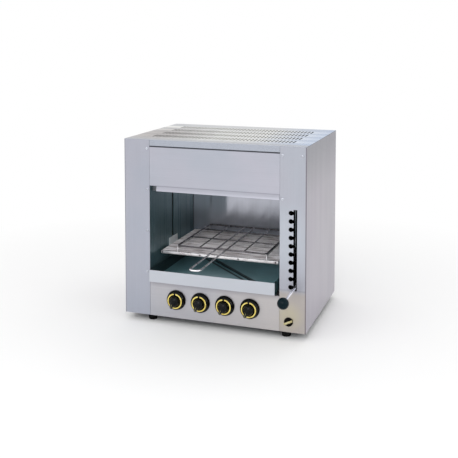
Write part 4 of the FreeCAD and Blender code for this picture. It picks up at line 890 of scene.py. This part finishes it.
outer = rounded(flatPath((rackLeft, rackFront), (rackRight, rackFront), (rackRight, rackBack),
                         (rackLeft, rackBack)), rack["corner"] * mm, 6, closed=True)
rackStations = [rack["mid"] - rack["quarter"], rack["mid"] + rack["quarter"]]
crossLevels = [rackFront + reach for reach in rack["cross"]]
innerLines = ([((x, rackFront), (x, rackBack)) for x in rackStations]
              + [((rackLeft, y), (rackRight, y)) for y in crossLevels])
gripY = rackBox[0].y / mm + rack["handle"]
gripLeft, gripRight = rack["mid"] - rack["handleHalf"], rack["mid"] + rack["handleHalf"]
handle = rounded(flatPath((gripLeft, rackBack), (gripLeft, gripY), (gripRight, gripY), (gripRight, rackBack)),
                 rack["handleTip"] * mm, 8)
rackWires = [barMesh(outer, rack["frame"] * mm, 14, closed=True),
             *[barMesh(flatPath(*line), rack["inner"] * mm) for line in innerLines],
             barMesh(handle, rack["handle"] * mm, 14)]
makePiece("rackWires", meshFrom(shapeFrom(*rackWires)), "rackWire", "rack_frame")
beadSpots = flatPath(*[(x, y) for x in (*rackStations, gripLeft, gripRight)
                       for y in (rackFront, *crossLevels, rackBack)],
                     *[(x, y) for x in (rackLeft, rackRight) for y in crossLevels])
repeated("rackWelds", lathe(rack["beadShape"], 10, unit=1), beadSpots, "rackWire", "rack_frame",
         smooth=80, scale=rack["bead"] * mm)

carrier = {
    "left": -195.0, "right": 185.0, "front": -70.5, "back": 215.5, "level": 210.0, "bar": 9.0,
    "barThickness": 3.0, "barEdge": 0.9, "rod": 3.0, "side": 2.8, "riser": 2.2, "runner": 2.5,
    "rackGap": 2.8, "overhang": 3.0, "rivets": (-192.0, -66.0, 60.0, 179.0), "rivet": 2.6,
    "rivetShape": ((0, 0), (1, 0), (1, 0.2), (0.8, 0.42), (0.4, 0.55), (0, 0.58)),
}
left, right = carrier["left"] - carrier["rod"], carrier["right"] + carrier["rod"]
front, back, level = carrier["front"], carrier["back"], carrier["level"]
low = level - carrier["rod"]
runnerZ = rackZ - carrier["rackGap"] - carrier["runner"]
barFront, barBack = front - carrier["barThickness"] / 2, front + carrier["barThickness"] / 2
bar = blockMesh(point(left, barFront, level - carrier["bar"]), point(right, barBack, level),
                carrier["barEdge"] * mm, 3)
makePiece("carrierBar", bar, "brightWire", "carrier_frame")


def carrierWire(kind, start, end, sides=14):
    return barMesh([point(*start), point(*end)], carrier[kind] * mm, sides)


carrierWires = [carrierWire("side", (x, front, low), (x, back, low))
                for x in (carrier["left"], carrier["right"])]
carrierWires.append(carrierWire("rod", (left, back, low), (right, back, low)))
for x in (rackLeft, rackRight):
    carrierWires.append(carrierWire("runner", (x, front - carrier["overhang"], runnerZ),
                                    (x, back + carrier["overhang"], runnerZ)))
    carrierWires += [carrierWire("riser", (x, y, low), (x, y, runnerZ), 12) for y in (front, back)]
makePiece("carrierWires", meshFrom(shapeFrom(*carrierWires)), "brightWire", "carrier_frame")
rivetSpots = [point(x, barFront, level - carrier["bar"] / 2) for x in carrier["rivets"]]
repeated("carrierRivets", lathe(carrier["rivetShape"], 20, unit=1), rivetSpots, "rackWire", "carrier_frame",
         [faceFront] * len(rivetSpots), scale=carrier["rivet"] * mm)
print("rack and carrier made")


# Woven wire cloth on the carrier

cloth = {"pitch": 3.2, "wire": 0.5, "swing": 0.4, "sides": 4}
weave = Layout("weave", length="float", pitch="float", wire="float", swing="float", sides="count")
halfLength = weave.given("length") * 0.5
run = weave.add("GeometryNodeCurvePrimitiveLine", {}, {
    "Start": weave.add("ShaderNodeCombineXYZ", {}, {0: 0 - halfLength}),
    "End": weave.add("ShaderNodeCombineXYZ", {}, {0: halfLength})})
rowsOfRun = weave.add("GeometryNodeInstanceOnPoints", {}, {"Points": weave.given("spots"), "Instance": run})
laid = weave.add("GeometryNodeRealizeInstances", {}, {"Geometry": rowsOfRun})
fine = weave.add("GeometryNodeResampleCurve", {"mode": "LENGTH"},
                 {"Curve": laid, "Length": weave.given("pitch") * 0.5})
position = weave.add("GeometryNodeInputPosition")
levels = [weave.add("ShaderNodeSeparateXYZ", {}, {0: position}, axis) for axis in (0, 1)]
waves = [(level / weave.given("pitch") * math.pi).cosine() for level in levels]
lift = weave.add("ShaderNodeCombineXYZ", {}, {2: waves[0] * waves[1] * weave.given("swing")})
waved = weave.add("GeometryNodeSetPosition", {}, {"Geometry": fine, "Offset": lift})
ring = weave.add("GeometryNodeCurvePrimitiveCircle", {}, {"Resolution": weave.given("sides"),
                                                          "Radius": weave.given("wire")})
weave.close(weave.add("GeometryNodeCurveToMesh", {}, {"Curve": waved, "Profile Curve": ring,
                                                      "Fill Caps": True}))
clothLow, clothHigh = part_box("carrier_mesh")
clothMiddle = (clothLow + clothHigh) / 2
for name, along, across, swing, turn in (
        ("clothWarp", clothHigh.x - clothLow.x, clothHigh.y - clothLow.y, 1, 0),
        ("clothWeft", clothHigh.y - clothLow.y, clothHigh.x - clothLow.x, -1, math.pi / 2)):
    pitch = cloth["pitch"] * mm
    count = int(across / pitch / 2)
    rows = bpy.data.meshes.new("rows")
    rows.from_pydata([(0, k * pitch, 0) for k in range(-count, count + 1)], [], [])
    mesh = weave.grow(rows, length=along, pitch=pitch, wire=cloth["wire"] * mm,
                      swing=swing * cloth["swing"] * mm, sides=cloth["sides"], finish=finishes["clothWire"])
    moved(mesh, Matrix.Translation(clothMiddle) @ Matrix.Rotation(turn, 4, "Z"))
    makePiece(name, mesh, "clothWire", "carrier_mesh", smooth=80)
    print(name, len(mesh.polygons), "faces")


# Nodes that stay as the frame has them

four = range(1, 5)
dress("plainSteel", "lever_pivot_pin", "slide_blocks", *[f"tap_spindle_{index}" for index in four])
dress("sootySteel", "lift_shaft", "lift_arm_left", "lift_arm_right", "injector_rail", "pilot_burner",
      *[f"burner_body_{index}" for index in four])
dress("brass", "injectors", "gas_taps", "shaft_bushes", "pilot_tap", "inlet_fitting")
dress("gasTube", "gas_manifold", "inlet_pipe", "pilot_tube", *[f"supply_tube_{index}" for index in four])
dress("ceramic", "ceramic_plates")
print("inner parts dressed")


# Floor, background and light

stage = {
    "floorSize": 12.0, "clearFrom": 0.55, "clearTo": 1.5, "paper": (0.93, 0.93, 0.93, 1), "worldLight": 0.82,
    "lamps": [                          # place and target in m, size in m, power in W
        ("keyLamp", (-1.3, -2.3, 2.1), (0, 0, 0.3), 1.8, 12),
        ("frontLamp", (0.3, -2.2, 1.6), (0, 0.1, 0.2), 1.2, 13),
        ("topLamp", (0.3, 0.9, 2.2), (0, 0.05, 0.5), 1.6, 6),
        ("sideLamp", (2.4, -0.9, 1.1), (0, 0, 0.3), 1.4, 5),
    ],
}


class Backdrop(Desk):                   # the world's own tree
    def __init__(self, world):
        world.use_nodes = True
        self.tree = world.node_tree
        self.background = self.tree.nodes["Background"]


def addWorld():
    world = bpy.data.worlds.new("studio")
    bpy.context.scene.world = world
    backdrop = Backdrop(world)
    rays = [backdrop.add("ShaderNodeLightPath", output=name)
            for name in ("Is Camera Ray", "Is Glossy Ray", "Is Transmission Ray")]
    seen = backdrop.add("ShaderNodeMath", {"operation": "ADD", "use_clamp": True},
                        {0: rays[0] + rays[1], 1: rays[2]})
    backdrop.background.inputs["Color"].default_value = (1, 1, 1, 1)
    backdrop.give(backdrop.background, "Strength", seen * (1 - stage["worldLight"]) + stage["worldLight"])


def addFloor():
    finish = Finish("floorPaper", Roughness=0.9)
    finish.feed("Base Color", stage["paper"])
    distance = finish.add("ShaderNodeVectorMath", {"operation": "LENGTH"}, {0: finish.place}, 1)
    looking = finish.add("ShaderNodeLightPath", output="Is Camera Ray")
    away = finish.rise(distance, stage["clearFrom"], stage["clearTo"]) * looking
    glow = finish.add("ShaderNodeEmission")
    paper = Socket(finish, finish.shader.outputs[0])
    mixed = finish.add("ShaderNodeMixShader", {}, {0: away, 1: paper, 2: glow})
    finish.give(finish.tree.nodes["Material Output"], "Surface", mixed)
    shape = bmesh.new()
    bmesh.ops.create_grid(shape, x_segments=1, y_segments=1, size=stage["floorSize"] / 2)
    floor = bpy.data.objects.new("floor", meshFrom(shape))
    floor.data.materials.append(finish.material)
    bpy.context.scene.collection.objects.link(floor)


def addLamps():
    for name, place, target, size, power in stage["lamps"]:
        lamp = bpy.data.lights.new(name, "AREA")
        lamp.size = size
        lamp.energy = power
        holder = bpy.data.objects.new(name, lamp)
        holder.location = place
        holder.rotation_euler = (Vector(target) - Vector(place)).to_track_quat("-Z", "Y").to_euler()
        bpy.context.scene.collection.objects.link(holder)


addWorld()
addFloor()
addLamps()
bpy.context.scene.view_settings.view_transform = "Standard"
print("stage set")
